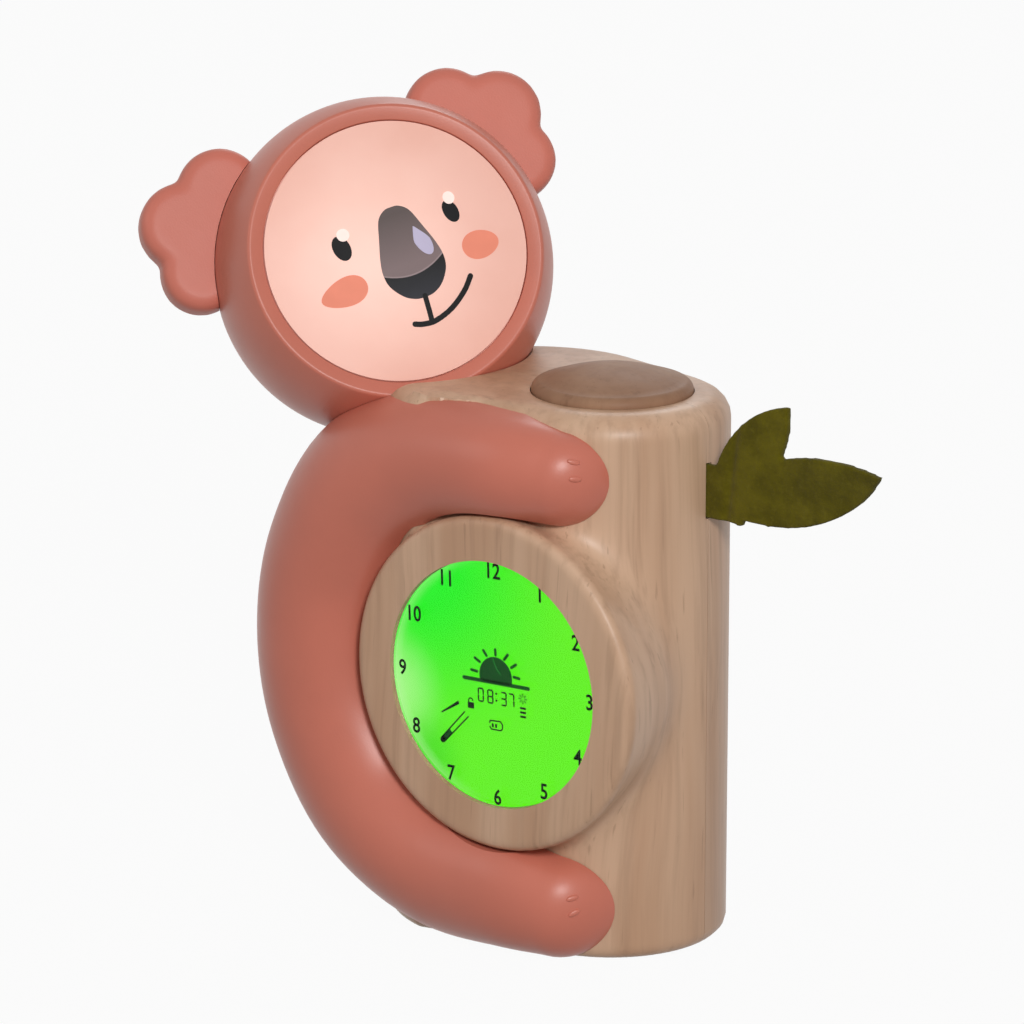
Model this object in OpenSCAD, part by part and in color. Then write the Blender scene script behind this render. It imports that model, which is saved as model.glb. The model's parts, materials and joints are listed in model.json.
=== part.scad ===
// Bedside alarm clock and night light: a koala hugs a tree trunk that carries a round lit dial.
// Millimetres. The origin is on the table under the button's axis; the dial faces -Y, +Z is up.

/* [Trunk] */
// Height of the trunk above the table
trunk_h = 120; // [118:0.5:124]
// Radius of the trunk's slim end, which carries the button
trunk_r = 25.3; // [25:0.1:27]
// Radius of the trunk's wide end, which the koala hugs
hug_r = 31; // [30:0.5:32]
// Distance from the slim end's axis to the wide end's axis
trunk_depth = 22; // [21:0.5:24]
// Rounding of the trunk's top edge
top_round = 5.5; // [4:0.5:6]
// Rounding of the trunk's bottom edge
foot_round = 3; // [3:0.5:5]
// Wall of every moulded shell
wall = 2.2; // [1.8:0.1:2.6]

/* [Dial] */
// Sideways offset of the dial's axis from the button's axis
dial_x = -7.5; // [-9:0.5:-6]
// How far the dial's axis lies below the trunk's top
dial_drop = 59; // [58:0.5:60]
// How far the collar's face stands in front of the button's axis
collar_reach = 33; // [32:0.5:35]
// Radius of the collar
collar_r = 37; // [36.5:0.5:38]
// Rounding of the collar's edge
collar_round = 2.5; // [1.5:0.5:3]
// How much the collar narrows towards the trunk
collar_taper = 7; // [4:0.5:8]
// Radius of the dial's opening
opening_r = 27; // [26:0.2:27]
// How deep the lens lies below the collar's face
lens_recess = 1; // [0.5:0.1:1.4]

/* [Rear panel] */
// Radius of the rear panel
panel_r = 27; // [26.5:0.5:28]
// Sideways place of the rear panel's centre
panel_x = -20; // [-22:0.5:-19]
// How far the rear panel stands behind the button's axis
panel_reach = 31.5; // [31:0.5:33]

/* [Koala] */
// Radius of the head
head_r = 37; // [36:0.5:39]
// Head centre, sideways from the button's axis
head_x = -62; // [-64:0.5:-60]
// How far the head's centre stands above the trunk's top
head_lift = 18.2; // [17:0.2:20]
// Turn of the face from the dial's direction towards the leaf
head_yaw = 48; // [44:1:52]
// Lift of the face above level
head_pitch = 24; // [20:1:27]
// Lean of the head towards its shoulder
head_lean = 17.5; // [12:0.5:20]
// Radius of the face opening
face_r = 28.6; // [27:0.2:29]
// Radius of the lip around the face
lip_r = 32; // [31.5:0.5:32.5]
// Thickness of an ear
ear_t = 10; // [8:0.5:12]

/* [Button and keys] */
// Distance from the trunk's side to the top button's edge
button_margin = 8; // [7.8:0.1:10]
// Height of the button's dome above the trunk
button_dome = 5.3; // [4.6:0.1:6]
// Travel of the top button
button_travel = 1.8; // [1:0.1:2]
// Radius of a rear key
key_r = 3.8; // [3:0.1:4]
// Distance between neighbouring rear keys
key_pitch = 10.6; // [10.4:0.1:10.8]
// Travel of a rear key
key_travel = 0.7; // [0.5:0.1:0.8]
// Travel of the slide switch
slide_travel = 3; // [2:0.5:3.5]

/* [Leaf] */
// Thickness of the felt leaf
leaf_t = 1.8; // [1.2:0.1:2.4]
// Height of the leaf's root in its slot
leaf_root_h = 11.8; // [10:0.2:13]
// How far the middle of the leaf's root lies below the trunk's top
leaf_drop = 18; // [17:0.5:19]

/* [Inside] */
// Thickness of every circuit board
board_t = 1.6; // [1:0.1:1.6]
// Radius of the battery cell
cell_r = 9; // [8:0.1:9.2]
// Length of the battery cell
cell_l = 50; // [40:1:52]
// Radius of the loudspeaker
speaker_r = 14; // [12:0.5:14.5]

/* [Hidden] */
dial_z = trunk_h - dial_drop;
head_z = trunk_h + head_lift;
leaf_z = trunk_h - leaf_drop;
button_r = trunk_r - button_margin;
$fn = 96;
eps = 0.01;

// Clearances: parts that are fixed together, parts that slide, the head in its seat
fit = 0.1;
slip = 0.2;
seat_gap = 0.3;

// Screws: big ones close the casings, small ones hold what is inside
big_shank = 1.4;
big_head = 2.7;
big_head_h = 1.8;
small_shank = 0.9;
small_head = 1.8;
small_head_h = 1.2;
thread_gap = 0.02;                       // between a screw's thread and its boss
thread_grip = big_shank + thread_gap;
small_grip = small_shank + thread_gap;

// Base
edge_gap = 0.4;                          // the trunk's edge above the table
floor_z = edge_gap + wall;               // top of the trunk's own floor
base_inset = 8.4;                        // from the trunk's outline to the base plate's
base_lip = 4;                            // how far the base plate's flange laps the floor
plate_low = 0.8;
flange_t = 1.6;
flange_top = floor_z + flange_t;
rubber_t = 1.4;
rubber_margin = 2;
base_screw_inset = base_inset - base_lip / 2;
base_screw_turn = 50;

// Dial stack, as distances in front of the button's axis
face_in = collar_reach - wall;
lens_front = collar_reach - lens_recess;
lens_lip = 1.6;
lens_lip_t = 1.4;
ply_t = 1.1;
lcd_front = face_in - lens_lip_t - slip;
lcd_back = lcd_front - 2 * ply_t;
guide_t = 3.4;
guide_front = lcd_back - fit;
guide_back = guide_front - guide_t;
frame_floor_front = guide_back - fit;
frame_floor_t = 1.4;
frame_back = frame_floor_front - frame_floor_t;
post_h = 1.4;
board_front = frame_back - post_h;
board_back = board_front - board_t;
lcd_apothem = opening_r + 0.8;
frame_wall = 1.4;
frame_apothem = lcd_apothem + slip + frame_wall;
ledge_v = lcd_apothem - 4;               // the rear ply and the light guide stop here
strip_v = lcd_apothem - 2.6;
strip_l = 24;
strip_w = 2.2;
frame_ear_r = frame_apothem + 2.6;
frame_ear_w = 4.8;
main_board_r = opening_r + 2;
board_screw_r = main_board_r - 2.5;
board_screw_angles = [20, 160, 200, 340];
board_post_r = 2.3;
lamp_window_r = 20;
lamp_ring_r = 14;
lamp_h = 1.3;

// Battery cell on the base, and the height of the shell screws that pass over it
cell_under = 2.4;                        // room between the base's flange and the cell
cell_over = 5.4;                         // from the cell's top to the screws above it
cell_z = flange_top + cell_under + cell_r;
low_screw_z = cell_z + cell_r + cell_over;

// Screws that close the trunk: sideways place and height, outside the dial stack
shell_screw_places = [
    [trunk_r - 12.8, dial_z + 35], [trunk_r - 12.8, low_screw_z],
    [-trunk_depth - 14, dial_z + 35], [-trunk_depth - 14, low_screw_z]
];
front_boss_r = 2.8;
rear_boss_r = 4;
screw_seat = 6;                          // the screw heads sit this far behind the joint
shell_screw_l = 20;

// Rear panel, as distances behind the button's axis
panel_in = panel_reach - wall;
panel_taper = 3;
key_v = 11;
key_out = 1.2;
key_flange = 0.9;
key_flange_t = 0.9;
key_stem_r = 1.9;
switch_h = 3.5;
switch_w = 5.6;
switch_bore = 2.7;
key_low = panel_in - slip - key_flange_t;
key_board_back = 22.6;                   // the face that carries the switches
key_board_front = key_board_back - board_t;
key_stem_tip = key_board_back + switch_h - 1;
key_board_w = 38;
key_board_low = 5.2;
key_board_high = 23;
post_places = [[-16.2, 18.2], [16.2, 18.2], [0, 19.6]];
post_r = 2.1;
socket_u = 8;
socket_v = 18.6;
socket_w = 8.9;
socket_h = 3.2;
slide_u = -8;
slide_v = 19;
slide_body_w = 8.6;
slide_body_h = 4;
knob_w = 3;
knob_h = 2.6;
knob_out = 1;
speaker_v = -10;
grille_pitch = 4;
grille_r = 1;
gasket_t = 0.8;
gasket_w = 1.8;
speaker_flange_t = 1;
speaker_back = 22;
speaker_neck_r = 8;
cone_r = speaker_r - gasket_w - 1.4;
magnet_r = 9.5;
magnet_t = 5.5;
clamp_r = speaker_r + 2.2;
clamp_boss_r = 1.9;

// Top button
crown_r = 40;
shoulder = 2;
button_wall = 1.7;
button_flange = 1.3;
button_flange_t = 2;
button_apex = trunk_h + button_dome;
shoulder_x = button_r - shoulder;
shoulder_z = button_apex - crown_r + sqrt(crown_r * crown_r - shoulder_x * shoulder_x) - shoulder;
button_top_in = trunk_h + 0.5;
button_flange_top = trunk_h - wall - slip;
button_low = button_flange_top - button_flange_t;
bracket_z = button_low - button_travel - 7.6;
bracket_t = 1.6;
bracket_r = trunk_r - wall - 4.9;
bracket_boss_r = 2;
bracket_ring = button_r + button_flange + 0.3 + bracket_boss_r;
bracket_angles = [45, 135, 225, 315];
bracket_screw_l = 7;
button_stem_r = 2.2;
button_stem_tip = bracket_z + switch_h - 0.7;
button_switch_w = 6.2;
coil_r = 5.3;
coil_wire = 0.45;
coil_turns = 6;

// Koala's body: the limbs and the back follow the collar as one thick curved form
back_t = 33.8;
arm_t = 20.4;
leg_t = 23;
hand_at = [12, 45.4];                    // from the dial's axis
foot_at = [12, -48.8];
rear_draw = 8;                           // the rear hand and foot stop this much shorter
body_crest = 36.8;
limb_cap = 10.5;
back_cap = 19.5;
body_gap = 0.2;                          // between the body and the trunk
sub_steps = 4;
section_steps = 10;
tip_steps = 5;
// Around the dial: angle, and share of the way from a limb's thickness to the back's
ARMS = [[90, 0], [115, 0.4], [138, 1], [160, 1], [180, 1]];
LEGS = [[200, 1], [222, 0.88], [245, 0.46], [270, 0]];
body_screw_angles = [158, 180, 202];
body_mid_r = collar_r + body_gap + back_t / 2;
body_boss_reach = body_crest - 1.6;
side_screw_y = 12;
side_screw_zs = [dial_z - 12, dial_z + 12];
side_boss_r = 3;
side_wall_x = -trunk_depth - sqrt(hug_r * hug_r - side_screw_y * side_screw_y);
side_pad_x = side_wall_x + wall + 1.8;
side_screw_l = 15;
cable_z = trunk_h - 29.5;
cable_r = 1.2;
cable_hole_r = 3;

// Head, as distances in front of its centre along the way it looks
head_pos = [head_x, 0, head_z];
head_split = -5;
lip_w = sqrt(head_r * head_r - lip_r * lip_r);
face_w = lip_w - 0.8;
ledge_w = face_w - 2.4;
cover_t = 1.8;
cover_dome = 2;
cover_sphere = (face_r * face_r + cover_dome * cover_dome) / (2 * cover_dome);
cover_flange_t = 1.6;
cover_flange_r = face_r + 1.8;
reflector_rim_w = ledge_w - cover_flange_t - fit;
reflector_rim_t = 1.6;
reflector_floor_w = 1;
reflector_r = 16;
reflector_t = 1.4;
face_board_r = 15;
face_lamp_ring = 10;
head_screw_r = 31.8;
head_screw_angles = [90, 215, 325];
head_boss_r = 2.8;
head_boss_l = 13;
head_screw_seat = 6;
ear_lobes = [[27, 28.4, 8.9, 0], [37.8, 23.8, 9.2, 0.6], [37.8, 12.6, 8.3, -0.4]];
ear_core = [[20, 33], [30, 33], [43, 26], [43, 9], [36, 5], [24, 8]];
ear_round = 2;
ear_turn = 33;                           // direction of the ear's tab from the head's side
ear_bar_r = 30.2;
ear_bar_t = 2.4;
ear_bar_w = 17;
ear_tab_w = 12;
ear_tab_t = 4;
neck_places = [[head_x + 1, -4], [head_x + 1, 10]];
neck_hole = [head_x + 1, 3];
neck_pad_low = trunk_h - 22.5;
neck_boss_r = 3;
neck_boss_top = trunk_h - 10;

// Half the trunk's depth at a sideways place
flare = asin((hug_r - trunk_r) / trunk_depth);
function half_depth(x) = x > -trunk_r * sin(flare)
    ? sqrt(max(1, trunk_r * trunk_r - x * x))
    : (trunk_r - x * sin(flare)) / cos(flare);

// ---- Helpers ----------------------------------------------------------------------------

function arc(x, y, r, from, to, n) = [for (i = [0:n])
    let (a = from + (to - from) * i / n) [x + r * cos(a), y + r * sin(a)]];

function unit(v) = v / norm(v);

// A point of a smooth curve that runs from b to c
function between(a, b, c, d, t) = 0.5 * (2 * b + (c - a) * t + (2 * a - 5 * b + 4 * c - d) * t * t
    + (3 * b - a - 3 * c + d) * t * t * t);

function smooth(points, n) = concat(
    [for (i = [0:len(points) - 2], k = [0:n - 1])
        between(points[max(i - 1, 0)], points[i], points[i + 1],
            points[min(i + 2, len(points) - 1)], k / n)],
    [points[len(points) - 1]]
);

// Closed skin over rings of points, each ring with the same count
module skin(rings) {
    count = len(rings);
    sides = len(rings[0]);
    first = [for (j = [0:sides - 1]) sides - 1 - j];
    last = [for (j = [0:sides - 1]) (count - 1) * sides + j];
    around = [for (i = [0:count - 2], j = [0:sides - 1])
        let (a = i * sides + j, b = i * sides + (j + 1) % sides)
        each [[a, b, b + sides], [a, b + sides, a + sides]]];
    polyhedron([for (ring = rings) each ring], concat([first, last], around), convexity = 8);
}

// Round cord along a path in space
module cord(path, r, sides = 8) {
    n = len(path);
    skin([for (i = [0:n - 1])
        let (
            t = unit(path[min(i + 1, n - 1)] - path[max(i - 1, 0)]),
            side = unit(cross(t, abs(t[2]) > 0.9 ? [1, 0, 0] : [0, 0, 1])),
            up = cross(side, t)
        )
        [for (j = [0:sides - 1])
            path[i] + r * (cos(360 * j / sides) * side + sin(360 * j / sides) * up)]]);
}

module dial_place() {
    translate([dial_x, 0, dial_z])
        rotate([90, 0, 0])
            children();
}

// x to the right as seen from behind, y up, z backwards from the trunk's joint
module panel_place() {
    translate([panel_x, 0, dial_z])
        rotate([90, 0, 180])
            children();
}

module head_place() {
    translate(head_pos)
        rotate([0, 0, head_yaw])
            rotate([-head_pitch, 0, 0])
                rotate([0, -head_lean, 0])
                    children();
}

// x across the face, y up the forehead, z out of the face
module face_place() {
    head_place()
        rotate([90, 0, 0])
            children();
}

module disc(r, low, high) {
    translate([0, 0, low])
        cylinder(r = r, h = high - low);
}

module block(width, height, low, high) {
    translate([-width / 2, -height / 2, low])
        cube([width, height, high - low]);
}

module octagon(apothem, low, high) {
    translate([0, 0, low])
        rotate([0, 0, 22.5])
            cylinder(r = apothem / cos(22.5), h = high - low, $fn = 8);
}

module at_polar(r, angles) {
    for (a = angles)
        rotate([0, 0, a])
            translate([r, 0, 0])
                children();
}

// Cross-headed screw that points down, the underside of its head at z = 0
module screw(length, shank, head, head_h) {
    difference() {
        union() {
            disc(shank, -length, eps);
            disc(head, 0, head_h);
        }
        block(head * 1.1, head * 0.25, head_h / 2, head_h + 1);
        block(head * 0.25, head * 1.1, head_h / 2, head_h + 1);
    }
}

module big_screw(length) {
    screw(length, big_shank, big_head, big_head_h);
}

module small_screw(length) {
    screw(length, small_shank, small_head, small_head_h);
}

module front_half() {
    intersection() {
        children();
        translate([-200, -100, -50])
            cube([400, 100, 300]);
    }
}

module rear_half() {
    intersection() {
        children();
        translate([-200, 0, -50])
            cube([400, 100, 300]);
    }
}

// ---- Trunk ------------------------------------------------------------------------------

module column(r, low, high, low_round, high_round) {
    rotate_extrude($fn = 56)
        polygon(concat(
            [[0, low]],
            arc(r - low_round, low + low_round, low_round, -90, 0, 3),
            arc(r - high_round, high - high_round, high_round, 0, 90, 5),
            [[0, high]]
        ));
}

// The trunk's main form, or its hollow when inset by the wall
module trunk_form(inset) {
    low = edge_gap + inset;
    high = trunk_h - inset;
    hull() {
        column(trunk_r - inset, low, high, foot_round - inset, top_round - inset);
        translate([-trunk_depth, 0, 0])
            column(hug_r - inset, low, high, foot_round - inset, top_round - inset);
    }
}

// Flared drum with a rounded rim, and the hollow inside it
module drum(r, reach, taper) {
    rotate_extrude() {
        polygon([
            [0, 0], [r - taper, 0], [r, reach - collar_round],
            [r - collar_round, reach - collar_round], [r - collar_round, reach], [0, reach]
        ]);
        translate([r - collar_round, reach - collar_round])
            circle(r = collar_round);
    }
}

module drum_hollow(r, reach, taper) {
    rotate_extrude()
        polygon([
            [0, -eps], [r - taper - wall, -eps], [r - wall, reach - collar_round],
            [r - wall - collar_round / 2, reach - wall], [0, reach - wall]
        ]);
}

module head_seat(gap) {
    translate(head_pos)
        sphere(r = head_r + gap);
}

module base_outline(inset) {
    hull() {
        circle(r = trunk_r - inset);
        translate([-trunk_depth, 0])
            circle(r = hug_r - inset);
    }
}

module base_slab(inset, low, high) {
    translate([0, 0, low])
        linear_extrude(high - low)
            base_outline(inset);
}

module base_screw_places() {
    for (side = [-1, 1]) {
        rotate([0, 0, side * base_screw_turn])
            translate([trunk_r - base_screw_inset, 0, 0])
                children();
        translate([-trunk_depth, 0, 0])
            rotate([0, 0, side * (180 - base_screw_turn)])
                translate([hug_r - base_screw_inset, 0, 0])
                    children();
    }
}

module side_places() {
    for (z = side_screw_zs, y = [-side_screw_y, side_screw_y])
        translate([0, y, z])
            rotate([0, 90, 0])
                children();
}

module shell_screw_posts(r, low, high) {
    for (p = shell_screw_places)
        translate([p[0], 0, p[1]])
            rotate([90, 0, 0])
                disc(r, low, high);
}

module bracket_bosses() {
    at_polar(bracket_ring, bracket_angles)
        difference() {
            disc(bracket_boss_r, bracket_z, trunk_h - wall + eps);
            disc(small_grip, bracket_z - 1, bracket_z + bracket_screw_l - bracket_t + 1);
        }
}

// Outer form and hollow of the trunk with a drum on it; both stop at the head's seat
module trunk_wall() {
    difference() {
        union() {
            trunk_form(0);
            children(0);
        }
        head_seat(seat_gap);
        difference() {
            union() {
                trunk_form(wall);
                children(1);
            }
            head_seat(seat_gap + wall);
        }
    }
}

module trunk_cuts() {
    disc(button_r + slip, trunk_h - wall - 1, trunk_h + 1);
    base_slab(base_inset - slip, -1, floor_z + 1);
    base_screw_places()
        disc(small_grip, 0, floor_z + 1);
    translate([trunk_r - wall - 4, -leaf_t / 2 - fit, leaf_z - leaf_root_h / 2 - fit])
        cube([wall + 8, leaf_t + 2 * fit, leaf_root_h + 2 * fit]);
    translate([-trunk_depth - hug_r - 3, 0, cable_z])
        rotate([0, 90, 0])
            cylinder(r = cable_hole_r, h = 3 + 2 * wall);
    side_places()
        disc(big_shank + slip, side_wall_x - 3, side_pad_x + 1);
}

module side_pads() {
    side_places()
        disc(side_boss_r + 0.6, side_wall_x + 1, side_pad_x);
}

module trunk_front_shell() {
    color([0.75, 0.61, 0.49])
        difference() {
            front_half()
                union() {
                    trunk_wall() {
                        dial_place()
                            drum(collar_r, collar_reach, collar_taper);
                        dial_place()
                            drum_hollow(collar_r, collar_reach, collar_taper);
                    }
                    bracket_bosses();
                    side_pads();
                    intersection() {
                        shell_screw_posts(front_boss_r, 0, 40);
                        trunk_form(wall / 2);
                    }
                    dial_place()
                        at_polar(frame_ear_r, [90, 270])
                            disc(frame_ear_w / 2, frame_floor_front + slip / 2, face_in + eps);
                }
            trunk_cuts();
            shell_screw_posts(thread_grip, -1, shell_screw_l - screw_seat + 1);
            dial_place() {
                disc(opening_r, face_in - 1, collar_reach + 1);
                at_polar(frame_ear_r, [90, 270])
                    disc(small_grip, frame_back, face_in - 1);
            }
        }
}

module grille_holes() {
    for (i = [-2:2], j = [-2:2])
        if (abs(i + j) < 3)
            translate([(i + j / 2) * grille_pitch, speaker_v + j * grille_pitch * sin(60), 0])
                cylinder(r = grille_r, h = panel_reach + 1, $fn = 24);
}

// Rounded slot shape of the charging socket
module socket_form(width, height, low, high) {
    block(width - height, height, low, high);
    for (side = [-1, 1])
        translate([side * (width - height) / 2, 0, 0])
            disc(height / 2, low, high);
}

module key_places() {
    for (i = [0:3])
        translate([(i - 1.5) * key_pitch, key_v, 0])
            children();
}

module clamp_places() {
    for (side = [-1, 1])
        translate([side * clamp_r, speaker_v, 0])
            children();
}

module post_spots() {
    for (p = post_places)
        translate([p[0], p[1], 0])
            children();
}

module panel_cuts() {
    intersection() {
        grille_holes();
        disc(speaker_r, panel_in - 1, panel_reach + 1);
    }
    key_places()
        disc(key_r + slip, panel_in - 1, panel_reach + 1);
    translate([socket_u, socket_v, 0])
        socket_form(socket_w + 2 * slip, socket_h + 2 * slip, panel_in - 1, panel_reach + 1);
    translate([slide_u, slide_v, 0])
        block(knob_w + slide_travel + 2 * slip, knob_h + 2 * slip, panel_in - 1, panel_reach + 1);
    post_spots()
        disc(small_grip, key_board_back - 1, panel_in - 1);
    clamp_places()
        disc(small_grip, panel_in - 4, panel_in + 1);
}

module trunk_rear_shell() {
    color([0.72, 0.58, 0.46])
        difference() {
            rear_half()
                union() {
                    trunk_wall() {
                        panel_place()
                            drum(panel_r, panel_reach, panel_taper);
                        panel_place()
                            drum_hollow(panel_r, panel_reach, panel_taper);
                    }
                    bracket_bosses();
                    side_pads();
                    intersection() {
                        shell_screw_posts(rear_boss_r, -40, 0);
                        trunk_form(wall / 2);
                    }
                    panel_place() {
                        post_spots()
                            disc(post_r, key_board_back, panel_in + eps);
                        clamp_places()
                            disc(clamp_boss_r, panel_in - gasket_t - speaker_flange_t,
                                panel_in + eps);
                    }
                }
            trunk_cuts();
            shell_screw_posts(big_shank + slip, -screw_seat - 1, 1);
            shell_screw_posts(big_head + slip, -50, -screw_seat);
            panel_place()
                panel_cuts();
        }
}

module shell_screws() {
    color("silver")
        for (p = shell_screw_places)
            translate([p[0], screw_seat, p[1]])
                rotate([-90, 0, 0])
                    big_screw(shell_screw_l);
}

module base_plate() {
    color([0.66, 0.53, 0.42])
        difference() {
            union() {
                base_slab(base_inset, plate_low, floor_z + eps);
                base_slab(base_inset - base_lip, floor_z, flange_top);
            }
            base_slab(base_inset + rubber_margin - slip, 0, rubber_t);
            base_screw_places()
                disc(small_shank + fit, 0, 10);
            cradle_places()
                disc(small_grip, rubber_t + 0.6, 10);
        }
}

module base_screws() {
    color("silver")
        base_screw_places()
            translate([0, 0, flange_top])
                small_screw(flange_top - edge_gap - 0.6);
}

module rubber_foot() {
    color([0.2, 0.2, 0.2])
        base_slab(base_inset + rubber_margin, 0, rubber_t);
}

// ---- Top button -------------------------------------------------------------------------

module top_button() {
    color([0.66, 0.53, 0.43])
        rotate_extrude()
            difference() {
                union() {
                    intersection() {
                        translate([0, button_apex - crown_r])
                            circle(r = crown_r, $fn = 360);
                        translate([0, button_top_in])
                            square([shoulder_x, 20]);
                    }
                    translate([0, button_low])
                        square([button_r, shoulder_z - button_low]);
                    translate([shoulder_x, shoulder_z])
                        intersection() {
                            circle(r = shoulder);
                            square(shoulder + 1);
                        }
                    translate([0, button_low])
                        square([button_r + button_flange, button_flange_t]);
                    translate([0, button_stem_tip])
                        square([button_stem_r, button_top_in - button_stem_tip + eps]);
                }
                translate([button_stem_r, button_stem_tip])
                    square([button_r - button_wall - button_stem_r, button_top_in - button_stem_tip]);
            }
}

module button_spring() {
    low = bracket_z + coil_wire;
    high = button_top_in - coil_wire;
    steps = coil_turns * 14;
    color("silver")
        cord([for (i = [0:steps])
            let (a = 360 * coil_turns * i / steps)
            [coil_r * cos(a), coil_r * sin(a), low + (high - low) * i / steps]], coil_wire, 6);
}

module button_bracket() {
    color([0.9, 0.9, 0.88])
        difference() {
            union() {
                disc(bracket_r, bracket_z - bracket_t, bracket_z);
                at_polar(bracket_ring, bracket_angles)
                    disc(bracket_boss_r, bracket_z - bracket_t, bracket_z);
                at_polar(bracket_ring / 2 + 4, bracket_angles)
                    block(bracket_ring - 8, 2 * bracket_boss_r, bracket_z - bracket_t, bracket_z);
            }
            at_polar(bracket_ring, bracket_angles)
                disc(small_shank + fit, 0, bracket_z + 1);
            at_polar(bracket_r * 0.66, [0, 90, 180, 270])
                disc(3, 0, bracket_z + 1);
        }
}

module bracket_screws() {
    color("silver")
        at_polar(bracket_ring, bracket_angles)
            translate([0, 0, bracket_z - bracket_t])
                rotate([180, 0, 0])
                    small_screw(bracket_screw_l);
}

// Push switch: a housing with a bore for the plunger
module push_switch(width, bore) {
    difference() {
        block(width, width, 0, switch_h);
        disc(bore, switch_h - switch_bore, switch_h + 1);
    }
}

module button_switch() {
    color([0.15, 0.15, 0.16])
        translate([0, 0, bracket_z])
            push_switch(button_switch_w, button_stem_r + slip);
}

// ---- Leaf -------------------------------------------------------------------------------

// Blade between two points, bulging by one amount above the chord and another below it
module blade(from, tip, above, below) {
    span = norm(tip - from);
    left = [from[1] - tip[1], tip[0] - from[0]] / span;
    middle = (from + tip) / 2;
    above_r = (span * span / 4 + above * above) / (2 * above);
    below_r = (span * span / 4 + below * below) / (2 * below);
    intersection() {
        translate(middle - left * (above_r - above))
            circle(r = above_r);
        translate(middle + left * (below_r - below))
            circle(r = below_r);
    }
}

leaf_low = leaf_z - leaf_root_h / 2;
leaf_in = trunk_r - wall - 3.3;
long_tip = [trunk_r + 44.2, leaf_z + 10];
short_tip = [trunk_r + 20.2, leaf_z + 21.2];

module leaf() {
    color([0.33, 0.31, 0.09])
        rotate([90, 0, 0])
            translate([0, 0, -leaf_t / 2])
                linear_extrude(leaf_t) {
                    blade([trunk_r - 0.4, leaf_z - 1.6], long_tip, 6.2, 8.6);
                    blade([trunk_r + 1.2, leaf_z - 1], short_tip, 5.4, 6.6);
                    translate([leaf_in, leaf_low])
                        square([trunk_r + 3 - leaf_in, leaf_root_h]);
                    polygon([
                        [trunk_r + 2.9, leaf_low], [trunk_r + 9, leaf_low - 0.3],
                        [trunk_r + 12, leaf_z + 2], [trunk_r + 2.9, leaf_low + leaf_root_h]
                    ]);
                }
}

module leaf_clip() {
    color([0.85, 0.85, 0.82])
        difference() {
            translate([leaf_in - 1.2, -2.6, leaf_low - 1.2])
                cube([trunk_r - wall - leaf_in + 0.8, 5.2, leaf_root_h + 2.4]);
            translate([leaf_in - fit, -leaf_t / 2 - fit, leaf_low - fit])
                cube([10, leaf_t + 2 * fit, leaf_root_h + 2 * fit]);
        }
}

// ---- Dial -------------------------------------------------------------------------------

module dial_lens() {
    color([0.9, 0.95, 0.9, 0.4])
        dial_place() {
            disc(opening_r - slip, face_in - eps, lens_front);
            disc(opening_r + lens_lip, face_in - lens_lip_t, face_in);
        }
}

// Octagonal sheet that stops at the ledges above and below
module trimmed_octagon(apothem, low, high) {
    intersection() {
        octagon(apothem, low, high);
        block(4 * apothem, 2 * ledge_v, low - 1, high + 1);
    }
}

module lcd_glass() {
    color([0.35, 0.92, 0.1])
        dial_place() {
            octagon(lcd_apothem, lcd_front - ply_t, lcd_front);
            trimmed_octagon(lcd_apothem, lcd_back, lcd_front - ply_t + eps);
        }
}

module light_guide() {
    color([0.9, 1, 0.9, 0.6])
        dial_place()
            trimmed_octagon(lcd_apothem - fit, guide_back, guide_front);
}

module strip_places() {
    for (side = [-1, 1])
        translate([0, side * strip_v, 0])
            children();
}

module frame_post_places() {
    at_polar(board_screw_r, board_screw_angles)
        children();
}

module lcd_frame() {
    color([0.92, 0.92, 0.9])
        dial_place()
            difference() {
                union() {
                    octagon(frame_apothem, frame_back, lcd_front);
                    for (side = [-1, 1])
                        translate([0, side * (frame_ear_r + frame_apothem - 2) / 2, 0])
                            block(frame_ear_w, frame_ear_r - frame_apothem + 2, frame_back,
                                frame_floor_front);
                    at_polar(frame_ear_r, [90, 270])
                        disc(frame_ear_w / 2, frame_back, frame_floor_front);
                    frame_post_places()
                        disc(board_post_r, board_front, frame_back + eps);
                }
                octagon(lcd_apothem + slip, frame_floor_front, lcd_front + 1);
                disc(lamp_window_r, frame_back - 1, frame_floor_front + 1);
                strip_places()
                    block(strip_l + 2 * slip, strip_w + slip, frame_back - 1, frame_floor_front + 1);
                at_polar(frame_ear_r, [90, 270])
                    disc(small_shank + fit, frame_back - 1, frame_floor_front + 1);
                frame_post_places()
                    disc(small_grip, board_front - 1, frame_floor_front + 1);
            }
}

module lcd_frame_screws() {
    color("silver")
        dial_place()
            at_polar(frame_ear_r, [90, 270])
                translate([0, 0, frame_back])
                    rotate([180, 0, 0])
                        small_screw(6.5);
}

module contact_strips() {
    color([0.85, 0.4, 0.5])
        dial_place()
            strip_places()
                block(strip_l, strip_w, board_front, lcd_front - ply_t);
}

module main_board() {
    color([0.1, 0.4, 0.2])
        dial_place()
            difference() {
                disc(main_board_r, board_back, board_front);
                frame_post_places()
                    disc(small_shank + fit, board_back - 1, board_front + 1);
            }
}

module board_screws() {
    color("silver")
        dial_place()
            frame_post_places()
                translate([0, 0, board_back])
                    rotate([180, 0, 0])
                        small_screw(board_t + post_h + 0.8);
}

// Chips on the board's rear face: place, width, height, thickness
module board_parts(parts) {
    for (p = parts)
        translate([p[0], p[1], 0])
            block(p[2], p[3], board_back - p[4], board_back);
}

module board_chips() {
    color([0.12, 0.12, 0.13])
        dial_place()
            board_parts([
                [0, 2, 10, 10, 1.2], [14, 4, 6, 5, 1.5], [-13, 4, 5, 4, 1], [8, -12, 8, 3, 1.8]
            ]);
}

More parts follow.
